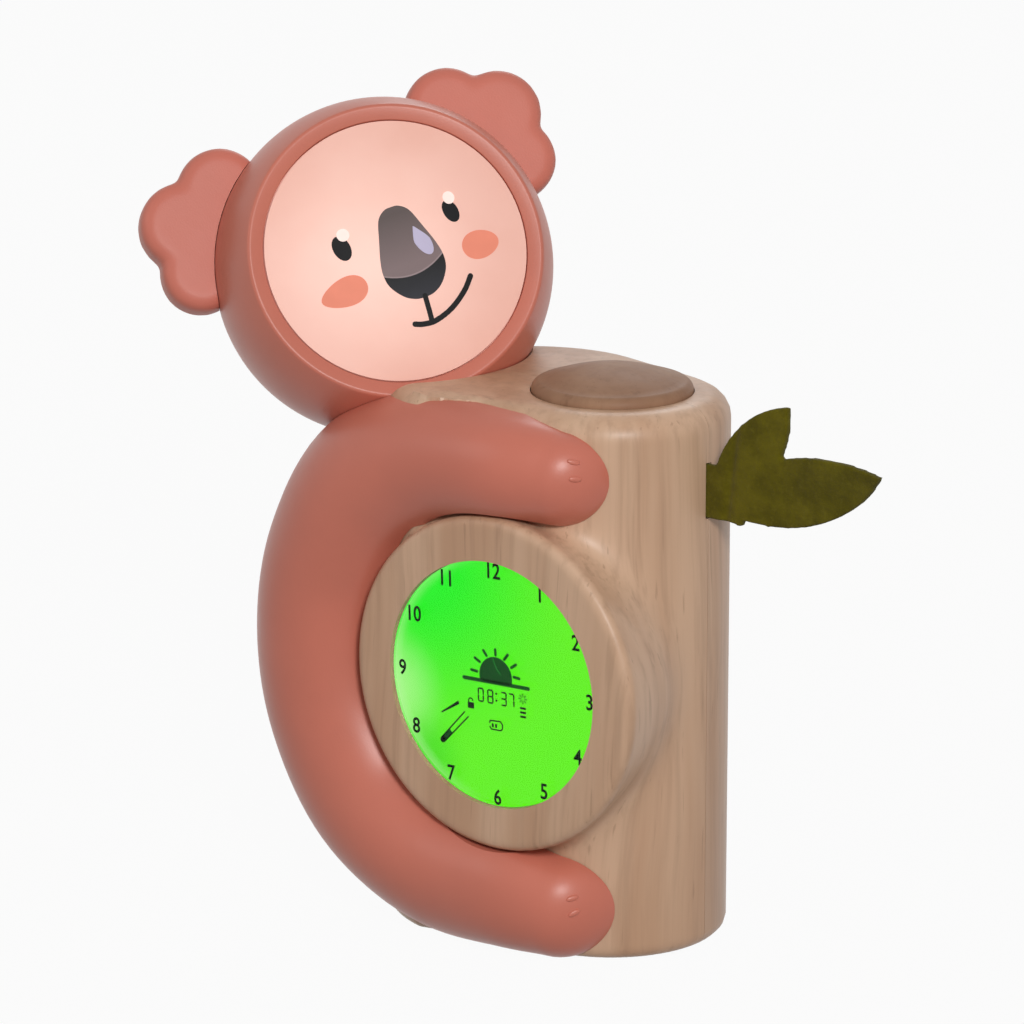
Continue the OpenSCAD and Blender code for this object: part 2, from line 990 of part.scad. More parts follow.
module board_connectors() {
    color([0.93, 0.92, 0.86])
        dial_place()
            board_parts([
                [-12, -14, 8, 5, 5.5], [-12, 15, 6, 5, 5], [0, 15, 6, 5, 5], [12, 16, 10, 3, 4]
            ]);
}

module backlight_leds() {
    color([0.95, 0.95, 0.7])
        dial_place()
            at_polar(lamp_ring_r, [0:45:315])
                block(3.5, 2.8, board_front, board_front + lamp_h);
}

// ---- Battery ----------------------------------------------------------------------------

cell_end = trunk_r - 17.3;               // the end with the lead
cell_x = cell_end - cell_l / 2;
cradle_z = cell_z - cell_r * 0.55;
cradle_side = cell_r - 1;
tab_reach = cell_r + 5.4;
tab_y = cell_r + 2.6;
tab_t = 1.6;

module cradle_places() {
    for (side = [-1, 1])
        translate([cell_x - side * cell_l * 0.34, side * tab_y, 0])
            children();
}

module battery_cell() {
    color([0.2, 0.45, 0.75])
        translate([cell_x - cell_l / 2, 0, cell_z])
            rotate([0, 90, 0]) {
                disc(cell_r, 0, cell_l - 1.2);
                disc(cell_r * 0.4, cell_l - 1.2 - eps, cell_l);
            }
}

module battery_cradle() {
    color([0.2, 0.2, 0.22])
        difference() {
            union() {
                translate([cell_x - cell_l * 0.44, -cradle_side, flange_top])
                    cube([cell_l * 0.88, 2 * cradle_side, cradle_z - flange_top]);
                cradle_places()
                    block(8, 2 * (tab_reach - tab_y), flange_top, flange_top + tab_t);
                for (side = [-1, 1])
                    translate([cell_x - side * cell_l * 0.34, side * tab_y / 2, 0])
                        block(8, tab_y, flange_top, flange_top + tab_t);
            }
            translate([cell_x - cell_l, 0, cell_z])
                rotate([0, 90, 0])
                    cylinder(r = cell_r + fit / 2, h = 2 * cell_l);
            cradle_places()
                disc(small_shank + fit, 0, 10);
        }
}

module cradle_screws() {
    color("silver")
        cradle_places()
            translate([0, 0, flange_top + tab_t])
                small_screw(tab_t + flange_top - rubber_t - 0.8);
}

function dial_point(u, v, w) = [dial_x + u, -w, dial_z + v];

module lead(points, r) {
    cord(smooth(points, 4), r, 6);
}

module battery_lead() {
    color([0.7, 0.1, 0.1])
        lead([
            [cell_end + 0.9, 0, cell_z], [cell_end + 3, -2.5, cell_z + 3.5],
            [cell_end + 1, -7, cell_z + 10.5], [cell_end - 5, -11, cell_z + 19],
            dial_point(-6, -15, 8),
            dial_point(-10, -14, board_back - 6)
        ], 0.8);
}

// ---- Rear panel -------------------------------------------------------------------------

module key_board() {
    color([0.1, 0.4, 0.2])
        panel_place()
            difference() {
                translate([0, (key_board_low + key_board_high) / 2, 0])
                    block(key_board_w, key_board_high - key_board_low, key_board_front,
                        key_board_back);
                post_spots()
                    disc(small_shank + fit, 0, key_board_back + 1);
            }
}

module key_board_screws() {
    color("silver")
        panel_place()
            post_spots()
                translate([0, 0, key_board_front])
                    rotate([180, 0, 0])
                        small_screw(5);
}

module key_switches() {
    color([0.15, 0.15, 0.16])
        panel_place()
            key_places()
                translate([0, 0, key_board_back])
                    push_switch(switch_w, key_stem_r + slip);
}

module key(place, tone) {
    color(tone)
        panel_place()
            translate([(place - 1.5) * key_pitch, key_v, 0]) {
                disc(key_r, key_low, panel_reach + key_out);
                disc(key_r + key_flange, key_low, key_low + key_flange_t);
                disc(key_stem_r, key_stem_tip, key_low + eps);
            }
}

module sound_key() {
    key(0, [0.93, 0.6, 0.5]);
}

module light_key() {
    key(1, [0.95, 0.85, 0.6]);
}

module minus_key() {
    key(2, [0.85, 0.8, 0.75]);
}

module plus_key() {
    key(3, [0.85, 0.8, 0.75]);
}

module key_ribbon() {
    front = [dial_x + 12, -board_back + 4.2, dial_z + 16];
    back = [panel_x - 4, key_board_front - 0.2, dial_z + 12];
    path = smooth([front, front + [0, 3, -1], [front[0] - 4, 4, dial_z + 6],
        back + [2, -4, -1], back], 4);
    color([0.8, 0.8, 0.82])
        skin([for (p = path) [
            p + [-4, -0.15, -0.15], p + [4, -0.15, -0.15], p + [4, 0.15, 0.15], p + [-4, 0.15, 0.15]
        ]]);
}

module usb_socket() {
    color([0.75, 0.76, 0.78])
        panel_place()
            translate([socket_u, socket_v, 0])
                difference() {
                    socket_form(socket_w, socket_h, key_board_back, panel_reach - 0.3);
                    difference() {
                        socket_form(socket_w - 0.8, socket_h - 0.8, key_board_back + 2, panel_reach);
                        block(socket_w - 2.4, 0.7, key_board_back, panel_reach - 1.5);
                    }
                }
}

module slide_switch_body() {
    color([0.15, 0.15, 0.16])
        panel_place()
            translate([slide_u, slide_v, 0])
                difference() {
                    block(slide_body_w, slide_body_h, key_board_back, key_board_back + switch_h);
                    block(knob_w + slide_travel + slip, 1.6, key_board_back + 1,
                        key_board_back + switch_h + 1);
                }
}

module slide_switch_knob() {
    color([0.93, 0.6, 0.5])
        panel_place()
            translate([slide_u + slide_travel / 2, slide_v, 0]) {
                block(knob_w, knob_h, key_board_back + switch_h + slip, panel_reach + knob_out);
                block(knob_w - 1, 1.2, key_board_back + 1.6, key_board_back + switch_h + 1);
            }
}

// ---- Loudspeaker ------------------------------------------------------------------------

module speaker_place() {
    panel_place()
        translate([0, speaker_v, 0])
            children();
}

speaker_face = panel_in - gasket_t;

module speaker_gasket() {
    color([0.25, 0.25, 0.25])
        speaker_place()
            difference() {
                disc(speaker_r - 0.6, speaker_face, panel_in);
                disc(speaker_r - gasket_w, speaker_face - 1, panel_in + 1);
            }
}

module speaker_basket() {
    color([0.6, 0.6, 0.62])
        speaker_place()
            difference() {
                union() {
                    disc(speaker_r, speaker_face - speaker_flange_t, speaker_face);
                    translate([0, 0, speaker_back])
                        cylinder(r1 = speaker_neck_r + 1.2, r2 = speaker_r - 0.6,
                            h = speaker_face - speaker_flange_t - speaker_back + eps);
                }
                translate([0, 0, speaker_back + 1])
                    cylinder(r1 = speaker_neck_r, r2 = speaker_r - gasket_w,
                        h = speaker_face - speaker_back - 1 + eps);
                disc(speaker_r - gasket_w, speaker_face - eps, speaker_face + 1);
            }
}

module speaker_cone() {
    color([0.1, 0.1, 0.1])
        speaker_place()
            rotate_extrude()
                polygon([
                    [0, speaker_back + 1], [5, speaker_back + 1],
                    [cone_r, speaker_face - 1.2], [cone_r, speaker_face - 0.8],
                    [5, speaker_back + 2.6], [0, speaker_back + 3.4]
                ]);
}

module speaker_magnet() {
    color([0.5, 0.5, 0.52])
        speaker_place()
            disc(magnet_r, speaker_back - magnet_t, speaker_back);
}

module speaker_screws() {
    color("silver")
        panel_place()
            clamp_places()
                translate([0, 0, speaker_face - speaker_flange_t])
                    rotate([180, 0, 0])
                        screw(speaker_flange_t + gasket_t + 0.8, small_shank, clamp_r - speaker_r + 0.5,
                            small_head_h);
}

module speaker_lead() {
    color([0.15, 0.15, 0.15])
        lead([
            [panel_x, speaker_back - magnet_t - 0.9, dial_z + speaker_v], [panel_x, 10, dial_z - 4],
            [dial_x - 1, 0, dial_z + 8], dial_point(0, 15, board_back - 9),
            dial_point(0, 15, board_back - 5.9)
        ], 0.8);
}

// ---- Koala's body -----------------------------------------------------------------------

// Stations: sideways and up from the dial's axis, half thickness, cap depth, flat half width
function station(angle, share, limb) =
    let (t = limb + (back_t - limb) * share, cap = limb_cap + (back_cap - limb_cap) * share,
        r = collar_r + body_gap + t / 2)
    [r * cos(angle), r * sin(angle), t / 2, cap, body_crest - cap];

function limb_end(at, t, cap) = [at[0], at[1], t / 2, cap, half_depth(dial_x + at[0]) - 1];

function stations(side) = let (draw = [side > 0 ? rear_draw : 0, 0]) concat(
    [limb_end(hand_at - draw, arm_t, limb_cap - 1)],
    [for (s = ARMS) if (side < 0 || s[0] > 90) station(s[0], s[1], arm_t)],
    [for (s = LEGS) if (side < 0 || s[0] < 270) station(s[0], s[1], leg_t)],
    [limb_end(foot_at - draw, leg_t, limb_cap)]
);

// One section of the body on one side of the joint; side is -1 in front and 1 behind
function section(s, t, inset, shrink, steps, side) =
    let (
        r = (s[2] - inset) * shrink,
        cap = max(0.3, (s[3] - inset) * shrink),
        out = [t[1], -t[0]],
        deep = concat([[r, -0.01]], [for (i = [0:steps])
            [r * cos(180 * i / steps), s[4] + cap * sin(180 * i / steps)]], [[-r, -0.01]])
    )
    [for (d = side < 0 ? deep : [for (i = [len(deep) - 1:-1:0]) deep[i]])
        [dial_x + s[0] + d[0] * out[0], side * d[1], dial_z + s[1] + d[0] * out[1]]];

function flat(s) = [s[0], s[1]];

function tip_rings(s, t, away, inset, steps, side) =
    [for (k = [1:tip_steps])
        let (
            a = 84 * k / tip_steps,
            reach = (s[2] - inset) * sin(a) * away,
            at = flat(s) + reach * t
        )
        section([at[0], at[1], s[2], s[3], max(3, half_depth(dial_x + at[0]) - 1)], t, inset,
            cos(a), steps, side)];

module body_sweep(inset, sub, steps, side) {
    path = smooth(stations(side), sub);
    n = len(path);
    turns = [for (i = [0:n - 1])
        unit(flat(path[min(i + 1, n - 1)]) - flat(path[max(i - 1, 0)]))];
    head_tip = tip_rings(path[0], turns[0], -1, inset, steps, side);
    skin(concat(
        [for (i = [len(head_tip) - 1:-1:0]) head_tip[i]],
        [for (i = [0:n - 1]) section(path[i], turns[i], inset, 1, steps, side)],
        tip_rings(path[n - 1], turns[n - 1], 1, inset, steps, side)
    ));
}

module body_limits(grow) {
    trunk_form(-body_gap - grow);
    head_seat(seat_gap + grow);
    translate([-150, -80, edge_gap + grow - 60])
        cube([300, 160, 60]);
}

module body_screw_place(side) {
    translate([dial_x, 0, dial_z])
        rotate([90, 0, 0])
            at_polar(body_mid_r, body_screw_angles)
                mirror([0, 0, side > 0 ? 1 : 0])
                    children();
}

module neck_cuts() {
    for (p = neck_places)
        translate([p[0], p[1], 0])
            disc(big_shank + fit, neck_pad_low - 1, neck_pad_low + 12);
    translate([neck_hole[0], neck_hole[1], 0])
        disc(cable_hole_r, neck_pad_low - 1, neck_pad_low + 12);
    translate([-trunk_depth - hug_r - 6, 0, cable_z])
        rotate([0, 90, 0])
            cylinder(r = cable_hole_r, h = 12);
}

module body_half(side) {
    difference() {
        body_sweep(0, sub_steps, section_steps, side);
        body_limits(0);
        children(0);
        difference() {
            body_sweep(wall, 3, 7, side);
            body_limits(wall);
            children(1);
        }
    }
}

module body_posts(side, r, length) {
    body_screw_place(side)
        disc(r, 0, length);
    intersection() {
        side_places()
            disc(side_boss_r, side_wall_x - side_screw_l + 2.5, side_wall_x - body_gap - 0.4);
        translate([-100, side > 0 ? 0 : -60, 0])
            cube([100, 60, 200]);
    }
}

module neck_pad(place) {
    difference() {
        translate([place[0], place[1], 0])
            disc(neck_boss_r + 0.8, neck_pad_low, neck_pad_low + 6);
        head_seat(seat_gap);
    }
}

module body_front_shell() {
    color([0.74, 0.44, 0.37])
        difference() {
            union() {
                body_half(-1) {
                    dial_place()
                        disc(collar_r + body_gap, 0, 60);
                    dial_place()
                        disc(collar_r + body_gap + wall, -1, 60);
                }
                body_posts(-1, front_boss_r, body_boss_reach);
                neck_pad(neck_places[0]);
            }
            body_screw_place(-1)
                disc(thread_grip, -1, shell_screw_l - screw_seat + 1);
            side_places()
                disc(thread_grip, side_wall_x - side_screw_l + 3.5, side_wall_x + 1);
            neck_cuts();
        }
}

module body_rear_shell() {
    color([0.7, 0.42, 0.35])
        difference() {
            union() {
                body_half(1) {
                    panel_place()
                        disc(panel_r + body_gap, 0, 60);
                    panel_place()
                        disc(panel_r + body_gap + wall, -1, 60);
                }
                body_posts(1, rear_boss_r, body_boss_reach);
                neck_pad(neck_places[1]);
            }
            body_screw_place(1) {
                disc(big_shank + slip, -1, screw_seat + 1);
                disc(big_head + slip, screw_seat, 60);
            }
            side_places()
                disc(thread_grip, side_wall_x - side_screw_l + 3.5, side_wall_x + 1);
            neck_cuts();
        }
}

module body_screws() {
    color("silver")
        body_screw_place(1)
            translate([0, 0, screw_seat])
                big_screw(shell_screw_l);
}

module body_trunk_screws() {
    color("silver")
        side_places()
            translate([0, 0, side_pad_x])
                big_screw(side_screw_l);
}

// ---- Head -------------------------------------------------------------------------------

module head_lug_places() {
    at_polar(head_screw_r, head_screw_angles)
        children();
}

// Slots in the split for the ears' tabs
module ear_slots() {
    for (side = [-1, 1])
        mirror([side < 0 ? 1 : 0, 0, 0])
            rotate([0, 0, ear_turn])
                translate([head_r, 0, 0])
                    block(16, ear_tab_w + 2 * fit, head_split - ear_tab_t / 2 - fit,
                        head_split + ear_tab_t / 2 + fit);
}

module head_front_shell() {
    color([0.75, 0.45, 0.38])
        face_place()
            difference() {
                union() {
                    rotate_extrude()
                        difference() {
                            intersection() {
                                circle(r = head_r, $fn = 360);
                                translate([0, head_split])
                                    square([head_r, lip_w - head_split]);
                            }
                            intersection() {
                                circle(r = head_r - wall, $fn = 360);
                                translate([0, head_split - 1])
                                    square([head_r, reflector_rim_w - reflector_rim_t - 0.4
                                        - head_split + 1]);
                            }
                            translate([0, head_split])
                                square([cover_flange_r + slip, ledge_w - head_split]);
                            square([face_r + fit, head_r]);
                            polygon([[0, face_w], [face_r, face_w], [lip_r, lip_w],
                                [lip_r, head_r], [0, head_r]]);
                        }
                    intersection() {
                        head_lug_places()
                            disc(head_boss_r, head_split, head_split + head_boss_l);
                        sphere(r = head_r - wall / 2);
                    }
                }
                head_lug_places()
                    disc(thread_grip, head_split - 1, head_split + head_boss_l - 1);
                ear_slots();
            }
}

module head_rear_shell() {
    color([0.72, 0.43, 0.36])
        difference() {
            union() {
                face_place()
                    difference() {
                        intersection() {
                            union() {
                                difference() {
                                    sphere(r = head_r);
                                    sphere(r = head_r - wall);
                                }
                                intersection() {
                                    head_lug_places()
                                        disc(rear_boss_r, -head_r, head_split);
                                    sphere(r = head_r - wall / 2);
                                }
                            }
                            disc(2 * head_r, -2 * head_r, head_split);
                        }
                        head_lug_places() {
                            disc(big_shank + slip, -head_r, head_split + 1);
                            disc(big_head + slip, -head_r, head_split - head_screw_seat);
                        }
                        ear_slots();
                    }
                intersection() {
                    for (p = neck_places)
                        translate([p[0], p[1], 0])
                            disc(neck_boss_r, head_z - head_r, neck_boss_top);
                    translate(head_pos)
                        sphere(r = head_r - wall / 2);
                }
            }
            for (p = neck_places)
                translate([p[0], p[1], 0])
                    disc(thread_grip, head_z - head_r - 2, neck_boss_top - 0.8);
            translate([neck_hole[0], neck_hole[1], 0])
                disc(cable_hole_r, head_z - head_r - 2, neck_boss_top);
        }
}

module head_screws() {
    color("silver")
        face_place()
            head_lug_places()
                translate([0, 0, head_split - head_screw_seat])
                    rotate([180, 0, 0])
                        big_screw(head_screw_seat + head_boss_l - 2);
}

module neck_screws() {
    color("silver")
        for (p = neck_places)
            translate([p[0], p[1], neck_pad_low])
                rotate([180, 0, 0])
                    big_screw(neck_boss_top - neck_pad_low - 2);
}

module ear(side) {
    color([0.78, 0.46, 0.4])
        face_place()
            mirror([side < 0 ? 1 : 0, 0, 0]) {
                difference() {
                    union() {
                        for (lobe = ear_lobes)
                            translate([lobe[0], lobe[1], head_split])
                                rounded_disc(lobe[2], (ear_t + lobe[3]) / 2);
                        translate([0, 0, head_split - ear_t / 2 + 0.6])
                            linear_extrude(ear_t - 1.2)
                                polygon(ear_core);
                    }
                    sphere(r = head_r + fit);
                }
                rotate([0, 0, ear_turn]) {
                    translate([(ear_bar_r + head_r + 4) / 2, 0, 0])
                        block(head_r + 4 - ear_bar_r, ear_tab_w, head_split - ear_tab_t / 2,
                            head_split + ear_tab_t / 2);
                    translate([ear_bar_r + ear_bar_t / 2, 0, 0])
                        block(ear_bar_t, ear_bar_w, head_split - ear_tab_t / 2 + 0.2,
                            head_split + ear_tab_t / 2 - 0.2);
                }
            }
}

module rounded_disc(r, half) {
    rotate_extrude()
        union() {
            translate([0, -half])
                square([r - ear_round, 2 * half]);
            translate([0, -half + ear_round])
                square([r, 2 * half - 2 * ear_round]);
            for (level = [-1, 1])
                translate([r - ear_round, level * (half - ear_round)])
                    circle(r = ear_round);
        }
}

module ear_left() {
    ear(-1);
}

module ear_right() {
    ear(1);
}

module face_cover() {
    color([0.96, 0.8, 0.74])
        face_place()
            rotate_extrude()
                union() {
                    difference() {
                        intersection() {
                            translate([0, face_w + cover_dome - cover_sphere])
                                circle(r = cover_sphere, $fn = 720);
                            translate([0, ledge_w - cover_flange_t])
                                square([face_r - fit, 20]);
                        }
                        intersection() {
                            translate([0, face_w + cover_dome - cover_sphere])
                                circle(r = cover_sphere - cover_t, $fn = 720);
                            square([face_r - cover_t, 40]);
                        }
                    }
                    translate([face_r - cover_t, ledge_w - cover_flange_t])
                        square([cover_flange_r - face_r + cover_t, cover_flange_t]);
                }
}

module face_reflector() {
    rim = reflector_rim_w;
    color([0.95, 0.95, 0.95])
        face_place()
            difference() {
                rotate_extrude()
                    polygon([
                        [0, reflector_floor_w - reflector_t],
                        [reflector_r + reflector_t, reflector_floor_w - reflector_t],
                        [cover_flange_r - 1, rim - reflector_rim_t], [cover_flange_r, rim - reflector_rim_t],
                        [cover_flange_r, rim], [cover_flange_r - 2.4, rim],
                        [reflector_r, reflector_floor_w], [0, reflector_floor_w]
                    ]);
                translate([0, -8, 0])
                    disc(cable_r + 0.8, reflector_floor_w - 5, reflector_floor_w + 5);
            }
}

module face_board() {
    color([0.9, 0.9, 0.92])
        face_place()
            disc(face_board_r, reflector_floor_w, reflector_floor_w + board_t);
}

module face_leds() {
    color([1, 0.95, 0.7])
        face_place() {
            at_polar(face_lamp_ring, [0:60:300])
                block(3.5, 2.8, reflector_floor_w + board_t, reflector_floor_w + board_t + 1.4);
            block(3.5, 2.8, reflector_floor_w + board_t, reflector_floor_w + board_t + 1.4);
        }
}

module head_cable() {
    down = neck_hole[0];
    color([0.2, 0.2, 0.2])
        lead([
            [head_x + 4.5, -0.8, head_z - 6.6], [head_x + 2.2, 1.2, head_z - 8],
            [head_x + 0.6, 2.6, head_z - 14], [down, neck_hole[1], neck_pad_low + 14],
            [down, neck_hole[1], neck_pad_low], [down + 1, 2, cable_z + 1], [-54, 0, cable_z],
            [-46, 0, cable_z - 1], [-35, -6, cable_z - 6], dial_point(-13, 17, board_back - 12),
            dial_point(-12, 15, board_back - 5.9)
        ], cable_r);
}

// ---- Pieces ------------------------------------------------------------------------------

trunk_front_shell();

trunk_rear_shell();

shell_screws();

base_plate();

base_screws();

rubber_foot();

top_button();

button_spring();

button_bracket();

bracket_screws();

button_switch();

leaf();

leaf_clip();

dial_lens();

lcd_glass();

light_guide();

lcd_frame();

lcd_frame_screws();

contact_strips();

main_board();

board_screws();

board_chips();

board_connectors();

backlight_leds();

battery_cell();

battery_cradle();

cradle_screws();

battery_lead();

key_board();

key_board_screws();

key_switches();

sound_key();

light_key();

minus_key();

plus_key();

key_ribbon();

usb_socket();

slide_switch_body();

slide_switch_knob();

speaker_basket();

speaker_cone();

speaker_magnet();

speaker_gasket();

speaker_screws();

speaker_lead();

body_front_shell();

body_rear_shell();

body_screws();

body_trunk_screws();

head_front_shell();

head_rear_shell();

head_screws();

neck_screws();

ear_left();

ear_right();

face_cover();

face_reflector();

face_board();

face_leds();

head_cable();
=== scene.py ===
# %% [markdown]
# # A bedside alarm clock: a koala hugging a tree trunk
# The clock has two moulded parts that meet in a seam: a tree trunk printed with wood grain, which
# holds the dial, and a koala in satin coral plastic. The koala's face is a lit milky cover, and a
# felt leaf is clipped to the trunk. The solids that carry the joints are loaded first and never
# moved. Each cell after that adds one piece or one finish, and says what it made.

# %% Load the solids and measure them
import json
import math
from contextlib import contextmanager

import bmesh
import bpy
from mathutils import Matrix, Vector


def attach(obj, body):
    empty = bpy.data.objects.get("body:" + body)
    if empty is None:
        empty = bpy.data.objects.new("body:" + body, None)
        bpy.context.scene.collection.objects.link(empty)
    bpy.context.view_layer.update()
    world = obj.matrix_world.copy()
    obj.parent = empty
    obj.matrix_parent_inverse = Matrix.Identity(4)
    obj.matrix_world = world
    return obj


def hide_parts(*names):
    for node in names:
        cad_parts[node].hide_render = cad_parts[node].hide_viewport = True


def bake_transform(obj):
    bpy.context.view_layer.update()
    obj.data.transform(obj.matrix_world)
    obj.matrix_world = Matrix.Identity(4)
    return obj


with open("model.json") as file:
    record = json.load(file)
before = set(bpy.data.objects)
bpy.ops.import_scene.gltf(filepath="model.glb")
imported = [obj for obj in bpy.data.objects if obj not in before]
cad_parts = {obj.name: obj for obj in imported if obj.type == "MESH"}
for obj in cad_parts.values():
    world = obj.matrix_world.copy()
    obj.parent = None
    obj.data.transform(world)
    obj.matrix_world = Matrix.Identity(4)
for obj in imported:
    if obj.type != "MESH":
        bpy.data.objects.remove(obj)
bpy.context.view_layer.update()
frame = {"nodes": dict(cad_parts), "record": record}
MM = 0.001

# %% [markdown]
# ## Working by hand, in code
# Blender's operators act on what is selected, so every step starts with nothing selected. A piece
# is opened in edit mode, its faces or points are picked by where they are, and it is closed again.
# All lengths below are written in millimetres and turned into metres once, here.

# %% Small tools for selecting and editing
def mm(*lengths):
    return Vector(lengths) * MM


def nothing_selected():
    if bpy.context.mode != "OBJECT":
        bpy.ops.object.mode_set(mode="OBJECT")
    bpy.ops.object.select_all(action="DESELECT")


def only(*pieces):
    nothing_selected()
    for piece in pieces:
        piece.select_set(True)
    bpy.context.view_layer.objects.active = pieces[0]


def take_all(wanted=True):
    bpy.ops.mesh.select_all(action="SELECT" if wanted else "DESELECT")


@contextmanager
def editing(piece, kind="VERT", whole=False):
    only(piece)
    bpy.ops.object.mode_set(mode="EDIT")
    bpy.ops.mesh.select_mode(type=kind)
    take_all(whole)
    yield
    bpy.ops.object.mode_set(mode="OBJECT")


def pick(piece, test):
    """Selects, in edit mode, the faces whose centre passes the test."""
    mesh = bmesh.from_edit_mesh(piece.data)
    for face in mesh.faces:
        face.select_set(bool(test(face.calc_center_median(), face.normal)))
    mesh.select_flush_mode()
    bmesh.update_edit_mesh(piece.data)


def shape(piece, rule):
    """Moves every point of a piece to where the rule puts it."""
    for point in piece.data.vertices:
        point.co = rule(point.co.copy())
    piece.data.update()


def settle(piece):
    """Writes a piece's place into its mesh, so that its object sits at the origin."""
    only(piece)
    bpy.ops.object.transform_apply(location=True, rotation=True, scale=True)


def modify(piece, kind, **settings):
    only(piece)
    step = piece.modifiers.new(kind.title(), kind)
    for name, value in settings.items():
        setattr(step, name, value)
    bpy.ops.object.modifier_apply(modifier=step.name)


def outward(piece):
    with editing(piece, whole=True):
        bpy.ops.mesh.remove_doubles(threshold=0.01 * MM)
        bpy.ops.mesh.normals_make_consistent(inside=False)


def joined(name, *pieces):
    only(*pieces)
    bpy.ops.object.join()
    pieces[0].name = pieces[0].data.name = name
    return pieces[0]


def named(name):
    piece = bpy.context.object
    piece.name = piece.data.name = name
    return piece


def fresh(name, operator, **settings):
    """A new piece from one of Blender's add operators."""
    nothing_selected()
    operator(**settings)
    return named(name)


def disc(name, points, radius=1, **settings):
    return fresh(name, bpy.ops.mesh.primitive_circle_add, vertices=points, radius=radius,
                 fill_type="NGON", **settings)


def added(name, data):
    """An object around a mesh, a camera or a lamp that exists already."""
    made = bpy.data.objects.new(name, data)
    bpy.context.scene.collection.objects.link(made)
    return made


def smooth(piece, angle=40):
    only(piece)
    bpy.ops.object.shade_smooth_by_angle(angle=math.radians(angle))


def count(piece):
    low = [min(v.co[i] for v in piece.data.vertices) / MM for i in range(3)]
    high = [max(v.co[i] for v in piece.data.vertices) / MM for i in range(3)]
    size = " x ".join(f"{b - a:.1f}" for a, b in zip(low, high))
    print(f"{piece.name}: {len(piece.data.polygons)} faces, {size} mm")


# %% [markdown]
# ## The camera
# The clock stands at eye level of a child in bed, seen from its front right and a little above.
# A long lens keeps the dial's ellipse calm. The camera's three axes are worked out from two
# angles and become its rotation, which avoids a tracking constraint.

# %% Set the camera
VIEW_TURN, VIEW_TILT, VIEW_AWAY = 37.36, 15.36, 1.19174
SENSOR, PICTURE_SIDE, LENS_IN_PIXELS = 36, 1024, 5500
turn, tilt = math.radians(VIEW_TURN), math.radians(VIEW_TILT)
looks_at = mm(-26.82, 0, 88.61)
backward = Vector((math.cos(tilt) * math.sin(turn), -math.cos(tilt) * math.cos(turn), math.sin(tilt)))
sideways = Vector((math.cos(turn), math.sin(turn), 0))
upward = backward.cross(sideways)
lens = bpy.data.cameras.new("view")
lens.sensor_width = SENSOR
lens.lens = LENS_IN_PIXELS / PICTURE_SIDE * SENSOR
camera = added("view", lens)
camera.location = looks_at + backward * VIEW_AWAY
camera.rotation_euler = Matrix((sideways, upward, backward)).transposed().to_euler()
bpy.context.scene.camera = camera
print("camera at", [round(v, 3) for v in camera.location])

# %% [markdown]
# ## Shader maths that reads like maths
# A material is a graph of nodes. Writing one link at a time hides the idea, so a small class wraps
# a socket: `1 - mask * 0.4` then adds the Math nodes itself. Colours never pass through a Math
# node, which would make them grey. They go through Mix.

# %% A class that wraps a socket
class Wire:
    def __init__(self, tree, socket):
        self.tree, self.socket = tree, socket

    def node(self, kind, settings=None, out=0, **sockets):
        """Adds any node: its settings first, then the values or links of its sockets."""
        made = self.tree.nodes.new(kind)
        for key, value in (settings or {}).items():
            setattr(made, key, value)
        for key, value in sockets.items():
            index = int(key[1:]) if key[0] == "_" and key[1:].isdigit() else key.replace("_", " ")
            target = made.inputs[index]
            if isinstance(value, Wire):
                self.tree.links.new(value.socket, target)
            else:
                target.default_value = value
        return Wire(self.tree, made.outputs[out])

    def maths(self, operation, other, flip=False):
        a, b = (other, self) if flip else (self, other)
        return self.node("ShaderNodeMath", {"operation": operation}, _0=a, _1=b)

    def __add__(self, other): return self.maths("ADD", other)
    def __radd__(self, other): return self.maths("ADD", other, flip=True)
    def __sub__(self, other): return self.maths("SUBTRACT", other)
    def __rsub__(self, other): return self.maths("SUBTRACT", other, flip=True)
    def __mul__(self, other): return self.maths("MULTIPLY", other)
    def __rmul__(self, other): return self.maths("MULTIPLY", other, flip=True)

    def clamp(self):
        return self.maths("MAXIMUM", 0.0).maths("MINIMUM", 1.0)

    def step(self, low, high):
        """0 below low and 1 above high, with a soft change between."""
        return self.node("ShaderNodeMapRange", {"interpolation_type": "SMOOTHSTEP"},
                         Value=self, From_Min=low, From_Max=high)

    def axis(self, index):
        return self.node("ShaderNodeSeparateXYZ", out=index, Vector=self)

    def stretched(self, scale):
        return self.node("ShaderNodeMapping", Vector=self, Scale=scale)

    def moved(self, other):
        return self.node("ShaderNodeVectorMath", {"operation": "ADD"}, _0=self, _1=other)

    def times(self, amount):
        return self.node("ShaderNodeVectorMath", {"operation": "SCALE"}, _0=self, Scale=amount)

    def distance(self, point):
        return self.node("ShaderNodeVectorMath", {"operation": "DISTANCE"}, out=1, _0=self, _1=point)

    def noise(self, scale, detail=2.0, roughness=0.5, colour=False):
        return self.node("ShaderNodeTexNoise", out=1 if colour else 0, Vector=self, Scale=scale,
                         Detail=detail, Roughness=roughness)

    def bump(self, distance, strength=1.0):
        return self.node("ShaderNodeBump", Height=self, Distance=distance, Strength=strength)


def blend(mask, low, high):
    """Colour low where the mask is 0, and high where it is 1."""
    return mask.node("ShaderNodeMix", {"data_type": "RGBA"}, out=2, _0=mask, _6=low, _7=high)


# %% [markdown]
# ## Colours as a painter reads them
# Swatches are noted in ordinary 0 to 255 values. The shader wants linear light, so one helper
# converts them. Each material is made by one call that wraps its Principled shader.

# %% Colour conversion and a material maker
def paint(*red_green_blue):
    return (*(((c / 255 + 0.055) / 1.055) ** 2.4 if c > 10 else c / 3295 for c in red_green_blue), 1)


def toned(colour, amount):
    """A darker or lighter tone of a colour."""
    return (*(min(1, c * amount) for c in colour[:3]), 1)


